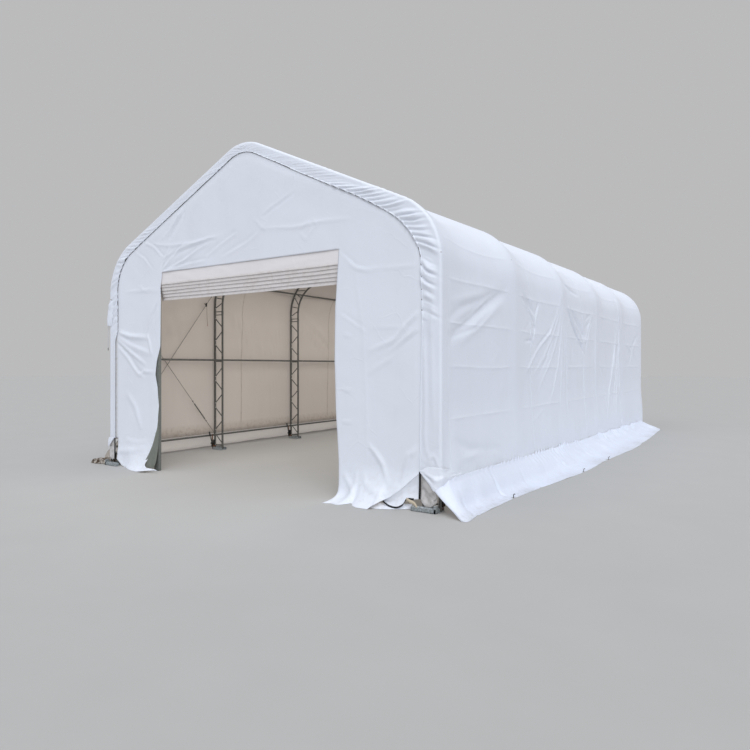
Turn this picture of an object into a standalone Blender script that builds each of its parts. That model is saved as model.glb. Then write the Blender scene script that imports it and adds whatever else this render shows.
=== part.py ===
"""Fabric storage shelter: lattice trusses, purlins, door frame, cable bracing and a fabric cover.

Run in Blender 4.5. Units are metres, +Z is up, the doorway looks along -Y.
The origin is at the middle of the footprint, on the ground.
"""

import math

import bmesh
import bpy
from mathutils import Vector

# Overall sizes, all to the outer face of the fabric
HALF_WIDTH = 3.05
WALL_TOP = 2.76
SHOULDER_RADIUS = 0.86
ROOF_PITCH = math.radians(25.0)
RIDGE_RADIUS = 0.70
SHOULDER_STEPS = 6
RIDGE_STEPS = 2

# Length: six trusses, five equal bays
TRUSS_COUNT = 6
BAY = 2.20
FRONT_TRUSS_Y = -BAY * (TRUSS_COUNT - 1) / 2

# Fabric, modelled thicker than the real sheet
FABRIC = 0.004
SEAT_GAP = 0.0003
COVER_FOOT = 0.40
BAND_WIDTH = 0.22

# Lattice truss
CHORD_DIAMETER = 0.038
TRUSS_DEPTH = 0.205
WEB_DIAMETER = 0.018
WEB_EMBED = 0.006
DIAGONAL_RISE = 0.165
DIAGONAL_GAP = 0.09
JOINT_STATION = 2.62
JOINT_BAR_OFFSET = 0.03
OUTER_CHORD = FABRIC + SEAT_GAP + CHORD_DIAMETER / 2
INNER_CHORD = OUTER_CHORD + TRUSS_DEPTH
MID_DEPTH = OUTER_CHORD + TRUSS_DEPTH / 2
# A chord is six-sided, with flats towards the front and the rear
CHORD_FLAT = CHORD_DIAMETER / 2 * math.cos(math.pi / 6)

# Base plate under each leg
PLATE_LENGTH = 0.27
PLATE_WIDTH = 0.12
PLATE_THICKNESS = 0.012

# Purlins run between the chords and rest on a cross bar
PURLIN_DIAMETER = 0.035
WALL_PURLIN_STATION = 1.72
EAVE_PURLIN_STATION = 3.284
PURLIN_END = 0.015
PURLIN_SEAT = PURLIN_DIAMETER / 2 + SEAT_GAP + WEB_DIAMETER / 2

# Doorway
DOOR_HALF_WIDTH = 1.70
DOOR_TOP = 3.05
POST_WIDTH = 0.10
POST_DEPTH = 0.05
POST_INNER_FACE = 1.80
HEADER_SIZE = 0.05
HEADER_BOTTOM = 3.10
CURTAIN_BOTTOM = 2.60
VALANCE_BOTTOM = 2.84
CURTAIN_DEPTH = 0.07
CURTAIN_FOLDS = 5
FOLD_STEP = 0.012

# Skirts that lie out on the ground
SKIRT_REACH = 3.55
SKIRT_TOE = 3.36
SKIRT_OVERHANG = 0.20
END_SKIRT_TOP = 0.25
END_SKIRT_OUTER = 2.80
END_SKIRT_RUN = 0.24
END_SKIRT_TOE = 0.05

# Tension tube along the foot of the cover, with a ratchet strap at each truss
TUBE_DIAMETER = 0.035
TUBE_HEIGHT = 0.27
STRAP_WIDTH = 0.030
STRAP_THICKNESS = 0.012
STRAP_OFFSET = 0.045
RATCHET_SIZE = (0.045, 0.055, 0.12)
RATCHET_HEIGHT = 0.12

# Cable bracing in the first bay
CABLE_DIAMETER = 0.008
CABLE_INSET = 0.055
CABLE_LEAN = 0.015
CABLE_OFFSET = 0.002
CABLE_FOOT = 0.30
RISING_CABLE_TOP = 3.10
FALLING_CABLE_TOP = 2.85
HOOK_DEPTH = 0.030
HOOK_HEIGHT = 0.05
HOOK_LAP = 0.015
TENSIONER_SIZE = (0.03, 0.035, 0.08)
TENSIONER_PLACE = 0.885
TURNBUCKLE_DIAMETER = 0.018
TURNBUCKLE_ENDS = (0.74, 0.90)

# Ropes
DRAW_ROPE_DIAMETER = 0.010
DRAW_ROPE_FOOT = 2.16
HANGING_ROPE_DIAMETER = 0.009
HANGING_ROPE_TOP = 2.36
HANGING_ROPE_END = 1.84
HANGING_ROPE_FORWARD = 0.012
BRACE_TAIL_DIAMETER = 0.006
BRACE_TAIL_LENGTH = 0.36

# Fineness of round bars
CHORD_ROUNDNESS = 1
PURLIN_ROUNDNESS = 4
ROPE_ROUNDNESS = 2
WEB_ROUNDNESS = 0

COLLECTION_NAME = "Fabric_storage_shelter"
HELPER_COLLECTION_NAME = "Helpers"

# Colour, roughness and metallic value of each finish
FINISHES = {
    "white_fabric": ((0.80, 0.82, 0.87), 0.45, 0.0),
    "door_fabric": ((0.78, 0.79, 0.83), 0.50, 0.0),
    "galvanised_steel": ((0.42, 0.43, 0.42), 0.42, 0.9),
    "painted_steel": ((0.22, 0.25, 0.24), 0.50, 0.3),
    "ratchet_steel": ((0.06, 0.06, 0.06), 0.45, 0.6),
    "brace_cable": ((0.30, 0.29, 0.28), 0.45, 0.6),
    "rope": ((0.25, 0.25, 0.24), 0.80, 0.0),
}


def clear_scene():
    """Remove whatever objects and collections the file opened with."""
    for item in list(bpy.data.objects):
        bpy.data.objects.remove(item, do_unlink=True)
    for group in list(bpy.data.collections):
        bpy.data.collections.remove(group)


def make_collection(name):
    """Add a collection under the scene's own."""
    group = bpy.data.collections.new(name)
    bpy.context.scene.collection.children.link(group)
    return group


def make_finish(name):
    """Build one of the plain finishes as a Principled material."""
    colour, roughness, metallic = FINISHES[name]
    finish = bpy.data.materials.new(name)
    finish.use_nodes = True
    shader = finish.node_tree.nodes["Principled BSDF"]
    shader.inputs["Base Color"].default_value = (*colour, 1.0)
    shader.inputs["Roughness"].default_value = roughness
    shader.inputs["Metallic"].default_value = metallic
    finish.diffuse_color = (*colour, 1.0)
    return finish


def place(name, mesh, group, finish, location=(0.0, 0.0, 0.0), turn=0.0):
    """Make a named object from a mesh, at a place and a turn about Z."""
    item = bpy.data.objects.new(name, mesh)
    item.location = location
    item.rotation_euler = (0.0, 0.0, turn)
    if not mesh.materials:
        mesh.materials.append(finish)
    group.objects.link(item)
    return item


def finished_mesh(item, name):
    """Read an object as its modifiers leave it, in world space, and remove the object."""
    bpy.context.view_layer.update()
    evaluated = item.evaluated_get(bpy.context.evaluated_depsgraph_get())
    mesh = bpy.data.meshes.new_from_object(evaluated)
    mesh.transform(item.matrix_world)
    mesh.name = name
    cage = bmesh.new()
    cage.from_mesh(mesh)
    bmesh.ops.remove_doubles(cage, verts=cage.verts, dist=0.00005)
    cage.to_mesh(mesh)
    cage.free()
    bpy.data.objects.remove(item, do_unlink=True)
    return mesh


def tubes_mesh(name, routes, diameter, roundness, helpers):
    """Sweep round bars along point lists, capped and welded, in one mesh."""
    curve = bpy.data.curves.new(name, "CURVE")
    curve.dimensions = "3D"
    curve.twist_mode = "MINIMUM"
    curve.bevel_depth = diameter / 2
    curve.bevel_resolution = roundness
    curve.use_fill_caps = True
    for route in routes:
        spline = curve.splines.new("POLY")
        spline.points.add(len(route) - 1)
        for point, place_of_point in zip(spline.points, route):
            point.co = (*place_of_point, 1.0)
    item = bpy.data.objects.new(name, curve)
    helpers.objects.link(item)
    return finished_mesh(item, name)


def box_into(cage, low, high):
    """Add a box between two corners to a bmesh."""
    made = bmesh.ops.create_cube(cage, size=1.0)
    low = Vector(low)
    high = Vector(high)
    bmesh.ops.scale(cage, verts=made["verts"], vec=high - low)
    bmesh.ops.translate(cage, verts=made["verts"], vec=(high + low) / 2)


def box_mesh(name, boxes):
    """Make one mesh of separate boxes, each given by its two corners."""
    cage = bmesh.new()
    for low, high in boxes:
        box_into(cage, low, high)
    mesh = bpy.data.meshes.new(name)
    cage.to_mesh(mesh)
    cage.free()
    return mesh


def fused_mesh(name, base, additions, helpers):
    """Union meshes that cut into each other into one closed body."""
    target = bpy.data.objects.new(name, base)
    helpers.objects.link(target)
    cutters = []
    for number, addition in enumerate(additions):
        cutter = bpy.data.objects.new(f"{name}_join_{number}", addition)
        cutter.hide_render = True
        cutter.display_type = "WIRE"
        helpers.objects.link(cutter)
        union = target.modifiers.new("union", "BOOLEAN")
        union.operation = "UNION"
        union.solver = "EXACT"
        union.object = cutter
        cutters.append(cutter)
    mesh = finished_mesh(target, name)
    for cutter in cutters:
        bpy.data.objects.remove(cutter, do_unlink=True)
    return mesh


def shade_round(mesh, angle=math.radians(35.0)):
    """Smooth a round piece and keep its sharp edges."""
    mesh.shade_smooth()
    mesh.set_sharp_from_angle(angle=angle)
    return mesh


def arc_length(radius, angle):
    """Length of a bend."""
    return radius * angle


SHOULDER_TURN = math.pi / 2 - ROOF_PITCH
SHOULDER_CENTRE = Vector((HALF_WIDTH - SHOULDER_RADIUS, WALL_TOP))
ROOF_NORMAL = Vector((math.cos(SHOULDER_TURN), math.sin(SHOULDER_TURN)))
ROOF_OFFSET = SHOULDER_CENTRE.dot(ROOF_NORMAL) + SHOULDER_RADIUS
RIDGE_CENTRE = Vector((0.0, (ROOF_OFFSET - RIDGE_RADIUS) / ROOF_NORMAL.y))
SHOULDER_END = WALL_TOP + arc_length(SHOULDER_RADIUS, SHOULDER_TURN)
ROOF_RUN = (SHOULDER_CENTRE.x + (SHOULDER_RADIUS - RIDGE_RADIUS) * ROOF_NORMAL.x) / math.cos(ROOF_PITCH)
ROOF_END = SHOULDER_END + ROOF_RUN
RIDGE_STATION = ROOF_END + arc_length(RIDGE_RADIUS, ROOF_PITCH)
APEX = RIDGE_CENTRE.y + RIDGE_RADIUS


def frame_point(station, inset):
    """X and Z of the right half profile, station metres along the fabric from the ground.

    The inset is how far inside the fabric's outer face the point lies.
    """
    if station <= WALL_TOP:
        return Vector((HALF_WIDTH - inset, station))
    if station <= SHOULDER_END:
        angle = (station - WALL_TOP) / SHOULDER_RADIUS
        ray = Vector((math.cos(angle), math.sin(angle)))
        return SHOULDER_CENTRE + ray * (SHOULDER_RADIUS - inset)
    if station <= ROOF_END:
        start = SHOULDER_CENTRE + ROOF_NORMAL * (SHOULDER_RADIUS - inset)
        uphill = Vector((-ROOF_NORMAL.y, ROOF_NORMAL.x))
        return start + uphill * (station - SHOULDER_END)
    angle = SHOULDER_TURN + (station - ROOF_END) / RIDGE_RADIUS
    ray = Vector((math.cos(angle), math.sin(angle)))
    return RIDGE_CENTRE + ray * (RIDGE_RADIUS - inset)


def bend_stations():
    """Stations of the points that the two bends need."""
    shoulder = [WALL_TOP + (SHOULDER_END - WALL_TOP) * i / SHOULDER_STEPS for i in range(SHOULDER_STEPS + 1)]
    ridge = [ROOF_END + (RIDGE_STATION - ROOF_END) * i / RIDGE_STEPS for i in range(RIDGE_STEPS + 1)]
    return shoulder + ridge


def arch(inset, foot):
    """The whole profile from the right foot over the ridge to the left foot."""
    right = [frame_point(station, inset) for station in [foot] + bend_stations()]
    left = [Vector((-point.x, point.y)) for point in reversed(right[:-1])]
    return right + left


def upright(point, y=0.0):
    """Stand a profile point up at a place along the building."""
    return Vector((point.x, y, point.y))


def cross_bar(station):
    """A bar square across the truss, let a little into both chords."""
    overlap = CHORD_DIAMETER / 2 - WEB_EMBED
    outer_end = frame_point(station, OUTER_CHORD + overlap)
    inner_end = frame_point(station, INNER_CHORD - overlap)
    return [upright(outer_end), upright(inner_end)]


def diagonal(outer_station, inner_station):
    """A slanting bar from the outer chord to the inner one."""
    return [upright(frame_point(outer_station, OUTER_CHORD)), upright(frame_point(inner_station, INNER_CHORD))]


def zigzag(start, step_sign, count, starts_on_outer):
    """Diagonals that lean one way and the other along a straight stretch."""
    bars = []
    station = start
    on_outer = starts_on_outer
    for _ in range(count):
        end = station + step_sign * DIAGONAL_RISE
        bars.append(diagonal(station, end) if on_outer else diagonal(end, station))
        on_outer = not on_outer
        station = end + step_sign * DIAGONAL_GAP
    return bars


def chord_route(start, end, inset):
    """A chord's points, at its ends and round the bends between them."""
    stations = [start] + [s for s in bend_stations() if start < s < end] + [end]
    return [upright(frame_point(s, inset)) for s in stations]


def leg_mesh(helpers):
    """Lower part of a truss: two chords, zigzag bars and a base plate, for the right side."""
    top = JOINT_STATION - SEAT_GAP / 2
    foot = PLATE_THICKNESS / 2
    routes = [chord_route(foot, top, inset) for inset in (OUTER_CHORD, INNER_CHORD)]
    chords = tubes_mesh("leg_chords", routes, CHORD_DIAMETER, CHORD_ROUNDNESS, helpers)
    bars = zigzag(2.52, -1, 3, True) + zigzag(1.57, -1, 6, False)
    bars.append(cross_bar(JOINT_STATION - JOINT_BAR_OFFSET))
    bars.append(cross_bar(WALL_PURLIN_STATION - PURLIN_SEAT))
    bars.append(cross_bar(0.085))
    webs = tubes_mesh("leg_webs", bars, WEB_DIAMETER, WEB_ROUNDNESS, helpers)
    outer_edge = HALF_WIDTH - FABRIC - SEAT_GAP
    low = (outer_edge - PLATE_LENGTH, -PLATE_WIDTH / 2, 0.0)
    high = (outer_edge, PLATE_WIDTH / 2, PLATE_THICKNESS)
    plate = box_mesh("base_plate", [(low, high)])
    return shade_round(fused_mesh("leg", chords, [webs, plate], helpers))


def rafter_mesh(helpers):
    """Upper part of a truss, from the leg joint round the shoulder to the ridge, right side."""
    bottom = JOINT_STATION + SEAT_GAP / 2
    routes = []
    for inset in (OUTER_CHORD, INNER_CHORD):
        # The route runs on over the ridge, so that the cut at the middle is square
        route = chord_route(bottom, RIDGE_STATION, inset)
        beyond = route[-2]
        routes.append(route + [Vector((-beyond.x, 0.0, beyond.z))])
    chords = tubes_mesh("rafter_chords", routes, CHORD_DIAMETER, CHORD_ROUNDNESS, helpers)
    eave_seat = PURLIN_SEAT * SHOULDER_RADIUS / (SHOULDER_RADIUS - MID_DEPTH)
    ridge_seat = PURLIN_SEAT * RIDGE_RADIUS / (RIDGE_RADIUS - MID_DEPTH)
    bars = [
        cross_bar(JOINT_STATION + JOINT_BAR_OFFSET),
        diagonal(2.72, 2.83),
        cross_bar(2.931),
        diagonal(3.159, 3.021),
        cross_bar(EAVE_PURLIN_STATION - eave_seat),
        diagonal(3.33, 3.53),
        cross_bar(RIDGE_STATION - ridge_seat),
    ]
    bars += zigzag(3.62, 1, 11, False)
    webs = tubes_mesh("rafter_webs", bars, WEB_DIAMETER, WEB_ROUNDNESS, helpers)
    return shade_round(cut_at_middle(fused_mesh("rafter", chords, [webs], helpers)))


def cut_at_middle(mesh):
    """Cut a right half off just short of X = 0, where the other half starts, and close the cut."""
    cage = bmesh.new()
    cage.from_mesh(mesh)
    everything = cage.verts[:] + cage.edges[:] + cage.faces[:]
    plane = {"plane_co": (SEAT_GAP / 2, 0.0, 0.0), "plane_no": (-1.0, 0.0, 0.0)}
    bmesh.ops.bisect_plane(cage, geom=everything, clear_outer=True, **plane)
    rim = [edge for edge in cage.edges if edge.is_boundary]
    bmesh.ops.holes_fill(cage, edges=rim)
    bmesh.ops.recalc_face_normals(cage, faces=cage.faces)
    cage.to_mesh(mesh)
    cage.free()
    return mesh


def build_trusses(parts, helpers, finish):
    """Six trusses of two legs and two rafters; the left half is the right one turned round."""
    leg = leg_mesh(helpers)
    rafter = rafter_mesh(helpers)
    for number in range(TRUSS_COUNT):
        y = FRONT_TRUSS_Y + BAY * number
        for side, turn in (("right", 0.0), ("left", math.pi)):
            place(f"truss_{number + 1}_{side}_leg", leg, parts, finish, (0.0, y, 0.0), turn)
            place(f"truss_{number + 1}_{side}_rafter", rafter, parts, finish, (0.0, y, 0.0), turn)


def build_purlins(parts, helpers, finish):
    """Five straight tubes from the first truss to the last, between the chords."""
    reach = -FRONT_TRUSS_Y + PURLIN_END
    stations = {"wall": WALL_PURLIN_STATION, "eave": EAVE_PURLIN_STATION, "ridge": RIDGE_STATION}
    for name, station in stations.items():
        point = frame_point(station, MID_DEPTH)
        sides = (("", 1),) if name == "ridge" else (("_right", 1), ("_left", -1))
        for suffix, sign in sides:
            middle = Vector((sign * point.x, point.y))
            route = [upright(middle, -reach), upright(middle, reach)]
            mesh = tubes_mesh(f"{name}_purlin{suffix}", [route], PURLIN_DIAMETER, PURLIN_ROUNDNESS, helpers)
            place(f"{name}_purlin{suffix}", shade_round(mesh), parts, finish)


def build_cover(parts, finish):
    """The main sheet: an arch along the building, wrapped round both end trusses as a band."""
    band_front = FRONT_TRUSS_Y - CHORD_DIAMETER / 2 - SEAT_GAP - FABRIC - SEAT_GAP - FABRIC
    outer = arch(0.0, COVER_FOOT)
    inner = arch(BAND_WIDTH, COVER_FOOT)
    loops = [(inner, band_front), (outer, band_front), (outer, -band_front), (inner, -band_front)]
    cage = bmesh.new()
    rows = [[cage.verts.new(upright(point, y)) for point in loop] for loop, y in loops]
    for row, next_row in zip(rows, rows[1:]):
        for i in range(len(row) - 1):
            cage.faces.new((row[i], next_row[i], next_row[i + 1], row[i + 1]))
    place_shell("main_cover", cage, Vector((0.0, 0.0, 2.0 * APEX)), parts, finish)


def place_shell(name, cage, outside, parts, finish):
    """Turn an open surface to face a point outside it and thicken it to a fabric sheet."""
    cage.normal_update()
    nearest = min(cage.faces, key=lambda face: (face.calc_center_median() - outside).length)
    if nearest.normal.dot(outside - nearest.calc_center_median()) < 0.0:
        bmesh.ops.reverse_faces(cage, faces=cage.faces)
    mesh = bpy.data.meshes.new(name)
    cage.to_mesh(mesh)
    cage.free()
    item = place(name, mesh, parts, finish)
    sheet = item.modifiers.new("sheet", "SOLIDIFY")
    sheet.thickness = FABRIC
    sheet.offset = -1.0
    sheet.use_even_offset = True
    return item


def gable_outline(has_door):
    """Outline of an end panel in its own plane, from the foot of one side round to the other."""
    wall_foot = Vector((HALF_WIDTH - FABRIC - SEAT_GAP, COVER_FOOT))
    right = [Vector((END_SKIRT_OUTER, END_SKIRT_TOP)), wall_foot]
    right += [frame_point(s, FABRIC + SEAT_GAP) for s in bend_stations()]
    left = [Vector((-point.x, point.y)) for point in reversed(right[:-1])]
    outline = right + left
    if has_door:
        jambs = [(-1, END_SKIRT_TOP), (-1, DOOR_TOP), (1, DOOR_TOP), (1, END_SKIRT_TOP)]
        outline += [Vector((sign * DOOR_HALF_WIDTH, height)) for sign, height in jambs]
    return outline


def build_gable(name, facing, has_door, parts, helpers, finish):
    """An end panel with its skirt turned out on the ground; facing is -1 at the front, 1 behind."""
    curve = bpy.data.curves.new(name, "CURVE")
    curve.dimensions = "2D"
    curve.fill_mode = "BOTH"
    spline = curve.splines.new("POLY")
    outline = gable_outline(has_door)
    spline.points.add(len(outline) - 1)
    for point, corner in zip(spline.points, outline):
        point.co = (corner.x, corner.y, 0.0, 1.0)
    spline.use_cyclic_u = True
    panel = bpy.data.objects.new(name, curve)
    panel.rotation_euler = (math.pi / 2, 0.0, 0.0)
    plane = facing * (-FRONT_TRUSS_Y + CHORD_DIAMETER / 2 + SEAT_GAP + FABRIC)
    panel.location = (0.0, plane, 0.0)
    helpers.objects.link(panel)
    cage = bmesh.new()
    cage.from_mesh(finished_mesh(panel, name))
    for run, height in ((END_SKIRT_RUN, FABRIC), (END_SKIRT_RUN + END_SKIRT_TOE, FABRIC)):
        lowest = min(vert.co.z for vert in cage.verts)
        edge_row = [e for e in cage.edges if e.is_boundary and is_lower_edge(e, lowest, facing, plane)]
        made = bmesh.ops.extrude_edge_only(cage, edges=edge_row)
        for vert in made["geom"]:
            if isinstance(vert, bmesh.types.BMVert):
                vert.co.y = plane + facing * run
                vert.co.z = height
    bmesh.ops.recalc_face_normals(cage, faces=cage.faces)
    outside = Vector((0.0, facing * 20.0, APEX))
    place_shell(name, cage, outside, parts, finish)


def is_lower_edge(edge, lowest, facing, plane):
    """Whether an edge lies level at the bottom of a panel, at its outermost row."""
    level = all(abs(vert.co.z - lowest) < 0.001 for vert in edge.verts)
    reach = max(abs(vert.co.y - plane) for vert in edge.verts)
    same_row = all(abs(abs(vert.co.y - plane) - reach) < 0.001 for vert in edge.verts)
    furthest = reach < 0.001 or reach > END_SKIRT_RUN - 0.001
    return level and same_row and furthest


def build_side_skirt(name, sign, parts, finish):
    """The cover's tail, turned out from the foot of the wall and laid on the ground."""
    profile = [
        (HALF_WIDTH, COVER_FOOT - SEAT_GAP),
        (HALF_WIDTH, COVER_FOOT - 0.02),
        (3.16, 0.20),
        (3.24, 0.08),
        (SKIRT_TOE, FABRIC),
        (SKIRT_REACH, FABRIC),
    ]
    reach = -FRONT_TRUSS_Y + SKIRT_OVERHANG
    cage = bmesh.new()
    rows = [[cage.verts.new((sign * x, y, z)) for x, z in profile] for y in (-reach, reach)]
    for i in range(len(profile) - 1):
        cage.faces.new((rows[0][i], rows[1][i], rows[1][i + 1], rows[0][i + 1]))
    place_shell(name, cage, Vector((sign * 20.0, 0.0, 20.0)), parts, finish)


def build_tension_tube(name, sign, parts, helpers, finish):
    """The tube that pulls the cover down, with a strap and ratchet to the base plate of each truss."""
    reach = -FRONT_TRUSS_Y + 0.10
    x = HALF_WIDTH - FABRIC + TUBE_DIAMETER / 2
    route = [(sign * x, -reach, TUBE_HEIGHT), (sign * x, reach, TUBE_HEIGHT)]
    tube = tubes_mesh(name, [route], TUBE_DIAMETER, PURLIN_ROUNDNESS, helpers)
    straps = []
    ratchets = []
    strap_outer = HALF_WIDTH - FABRIC + STRAP_THICKNESS / 2
    for number in range(TRUSS_COUNT):
        y = FRONT_TRUSS_Y + BAY * number - STRAP_OFFSET
        strap_low = (sign * strap_outer, y - STRAP_WIDTH / 2, PLATE_THICKNESS + SEAT_GAP)
        strap_high = (sign * (strap_outer - STRAP_THICKNESS), y + STRAP_WIDTH / 2, TUBE_HEIGHT)
        straps.append(ordered_box(strap_low, strap_high))
        width, depth, height = RATCHET_SIZE
        ratchet_y = y - depth / 2 + STRAP_WIDTH / 2
        ratchet_outer = strap_outer - 0.002
        low = (sign * ratchet_outer, ratchet_y - depth / 2, RATCHET_HEIGHT - height / 2)
        high = (sign * (ratchet_outer - width), ratchet_y + depth / 2, RATCHET_HEIGHT + height / 2)
        ratchets.append(ordered_box(low, high))
    strap_mesh = box_mesh("straps", straps)
    ratchet_mesh = box_mesh("ratchets", ratchets)
    mesh = fused_mesh(name, tube, [strap_mesh, ratchet_mesh], helpers)
    place(name, shade_round(mesh), parts, finish)


def ordered_box(first, second):
    """Sort two opposite corners into a low one and a high one."""
    low = tuple(min(a, b) for a, b in zip(first, second))
    high = tuple(max(a, b) for a, b in zip(first, second))
    return low, high


def along(start, end, share):
    """The point a share of the way from one point to another."""
    return Vector(start) + (Vector(end) - Vector(start)) * share


def box_round(centre, size):
    """A box by its middle and its size."""
    half = Vector(size) / 2
    return Vector(centre) - half, Vector(centre) + half


def brace_end(sign, y, station, inset=CABLE_INSET):
    """A cable's end beside the outer chord; the ends lie in a plane that leans in with height."""
    height = frame_point(station, OUTER_CHORD).y
    return Vector((sign * (HALF_WIDTH - inset - CABLE_LEAN * (height - CABLE_FOOT)), y, height))


def brace_ends(sign):
    """The two cables of one braced bay, each as its lower and upper end."""
    clear = CHORD_FLAT + SEAT_GAP + HOOK_DEPTH / 2
    first = FRONT_TRUSS_Y + clear
    second = FRONT_TRUSS_Y + BAY - clear
    rising = (brace_end(sign, first, CABLE_FOOT), brace_end(sign, second, RISING_CABLE_TOP))
    # The second cable lies a little inside the first, pressed against it where they cross
    inset = CABLE_INSET + CABLE_OFFSET
    falling = (brace_end(sign, second, CABLE_FOOT, inset), brace_end(sign, first, FALLING_CABLE_TOP, inset))
    return rising, falling


def hook_box(sign, end, station):
    """The fitting at a cable's end, reaching from the cable to the middle of the chord beside it."""
    chord_x = sign * frame_point(station, OUTER_CHORD).x
    low = (end.x - sign * HOOK_LAP, end.y - HOOK_DEPTH / 2, end.z - HOOK_HEIGHT / 2)
    high = (chord_x, end.y + HOOK_DEPTH / 2, end.z + HOOK_HEIGHT / 2)
    return ordered_box(low, high)


def build_brace(name, sign, parts, helpers, finish):
    """Two crossed cables with end hooks, a tensioner on one and a turnbuckle on the other."""
    rising, falling = brace_ends(sign)
    cable = tubes_mesh(name, [rising], CABLE_DIAMETER, ROPE_ROUNDNESS, helpers)
    other = tubes_mesh("falling_cable", [falling], CABLE_DIAMETER, ROPE_ROUNDNESS, helpers)
    boxes = [hook_box(sign, rising[0], CABLE_FOOT), hook_box(sign, rising[1], RISING_CABLE_TOP)]
    boxes += [hook_box(sign, falling[0], CABLE_FOOT), hook_box(sign, falling[1], FALLING_CABLE_TOP)]
    boxes.append(box_round(along(*rising, TENSIONER_PLACE), TENSIONER_SIZE))
    fittings = box_mesh("brace_fittings", boxes)
    barrel_route = [along(*falling, 1.0 - share) for share in TURNBUCKLE_ENDS]
    barrel = tubes_mesh("turnbuckle", [barrel_route], TURNBUCKLE_DIAMETER, ROPE_ROUNDNESS, helpers)
    mesh = fused_mesh(name, cable, [other, fittings, barrel], helpers)
    place(name, shade_round(mesh), parts, finish)


def build_door_frame(parts, finish):
    """Two posts from the ground to the front rafters, and the header between them."""
    chord_underside = INNER_CHORD + CHORD_DIAMETER / 2 + SEAT_GAP
    outer_face = POST_INNER_FACE + POST_WIDTH
    post_top = (ROOF_OFFSET - chord_underside - ROOF_NORMAL.x * outer_face) / ROOF_NORMAL.y
    front = FRONT_TRUSS_Y - CHORD_DIAMETER / 2
    for side, sign in (("right", 1), ("left", -1)):
        low = (sign * POST_INNER_FACE, front, 0.0)
        high = (sign * outer_face, front + POST_DEPTH, post_top)
        mesh = box_mesh(f"door_post_{side}", [ordered_box(low, high)])
        place(f"door_post_{side}", mesh, parts, finish)
    half = POST_INNER_FACE - SEAT_GAP
    low = (-half, front, HEADER_BOTTOM)
    high = (half, front + HEADER_SIZE, HEADER_BOTTOM + HEADER_SIZE)
    place("door_header", box_mesh("door_header", [(low, high)]), parts, finish)


def build_door_curtain(parts, finish):
    """The door cloth drawn up under the header: a flat valance over a stack of folds."""
    back = CURTAIN_DEPTH
    fold_height = (VALANCE_BOTTOM - CURTAIN_BOTTOM) / CURTAIN_FOLDS
    profile = [(back, HEADER_BOTTOM - SEAT_GAP), (0.0, HEADER_BOTTOM - SEAT_GAP), (0.0, VALANCE_BOTTOM)]
    for fold in range(CURTAIN_FOLDS):
        top = VALANCE_BOTTOM - fold_height * fold
        profile.append((FOLD_STEP, top - fold_height * 0.15))
        profile.append((0.0, top - fold_height))
    profile.append((back, CURTAIN_BOTTOM))
    curve = bpy.data.curves.new("door_curtain", "CURVE")
    curve.dimensions = "2D"
    curve.fill_mode = "BOTH"
    curve.extrude = POST_INNER_FACE - SEAT_GAP
    spline = curve.splines.new("POLY")
    spline.points.add(len(profile) - 1)
    for point, corner in zip(spline.points, profile):
        point.co = (*corner, 0.0, 1.0)
    spline.use_cyclic_u = True
    curve.materials.append(finish)
    curtain = bpy.data.objects.new("door_curtain", curve)
    curtain.rotation_euler = (math.pi / 2, 0.0, math.pi / 2)
    curtain.location = (0.0, FRONT_TRUSS_Y - CHORD_DIAMETER / 2, 0.0)
    parts.objects.link(curtain)


def build_draw_rope(name, facing, parts, helpers, finish):
    """The rope that gathers the band's inner edge, laid in front of the end panel."""
    panel_face = -FRONT_TRUSS_Y + CHORD_DIAMETER / 2 + SEAT_GAP + FABRIC
    y = facing * (panel_face + SEAT_GAP + DRAW_ROPE_DIAMETER / 2)
    inset = BAND_WIDTH + SEAT_GAP + DRAW_ROPE_DIAMETER / 2
    route = [upright(point, y) for point in arch(inset, DRAW_ROPE_FOOT)]
    mesh = tubes_mesh(name, [route], DRAW_ROPE_DIAMETER, ROPE_ROUNDNESS, helpers)
    place(name, shade_round(mesh), parts, finish)


def build_hanging_cords(parts, helpers, finish):
    """Two short loose ends: one on the cover's front left corner, one on the left brace."""
    x = -(HALF_WIDTH + SEAT_GAP + HANGING_ROPE_DIAMETER / 2)
    y = FRONT_TRUSS_Y - HANGING_ROPE_FORWARD
    route = [(x, y, HANGING_ROPE_TOP), (x, y, HANGING_ROPE_END)]
    mesh = tubes_mesh("hanging_rope", [route], HANGING_ROPE_DIAMETER, ROPE_ROUNDNESS, helpers)
    place("hanging_rope", shade_round(mesh), parts, finish)
    rising, _ = brace_ends(-1)
    tensioner = along(*rising, TENSIONER_PLACE)
    top = tensioner.z - TENSIONER_SIZE[2] / 2 - SEAT_GAP
    # The tail starts under the tensioner, on the side where the cable has risen clear of it
    y = tensioner.y + TENSIONER_SIZE[1] / 2 - BRACE_TAIL_DIAMETER
    route = [(tensioner.x, y, top), (tensioner.x, y, top - BRACE_TAIL_LENGTH)]
    mesh = tubes_mesh("brace_tail", [route], BRACE_TAIL_DIAMETER, ROPE_ROUNDNESS, helpers)
    place("brace_tail", shade_round(mesh), parts, finish)


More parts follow.
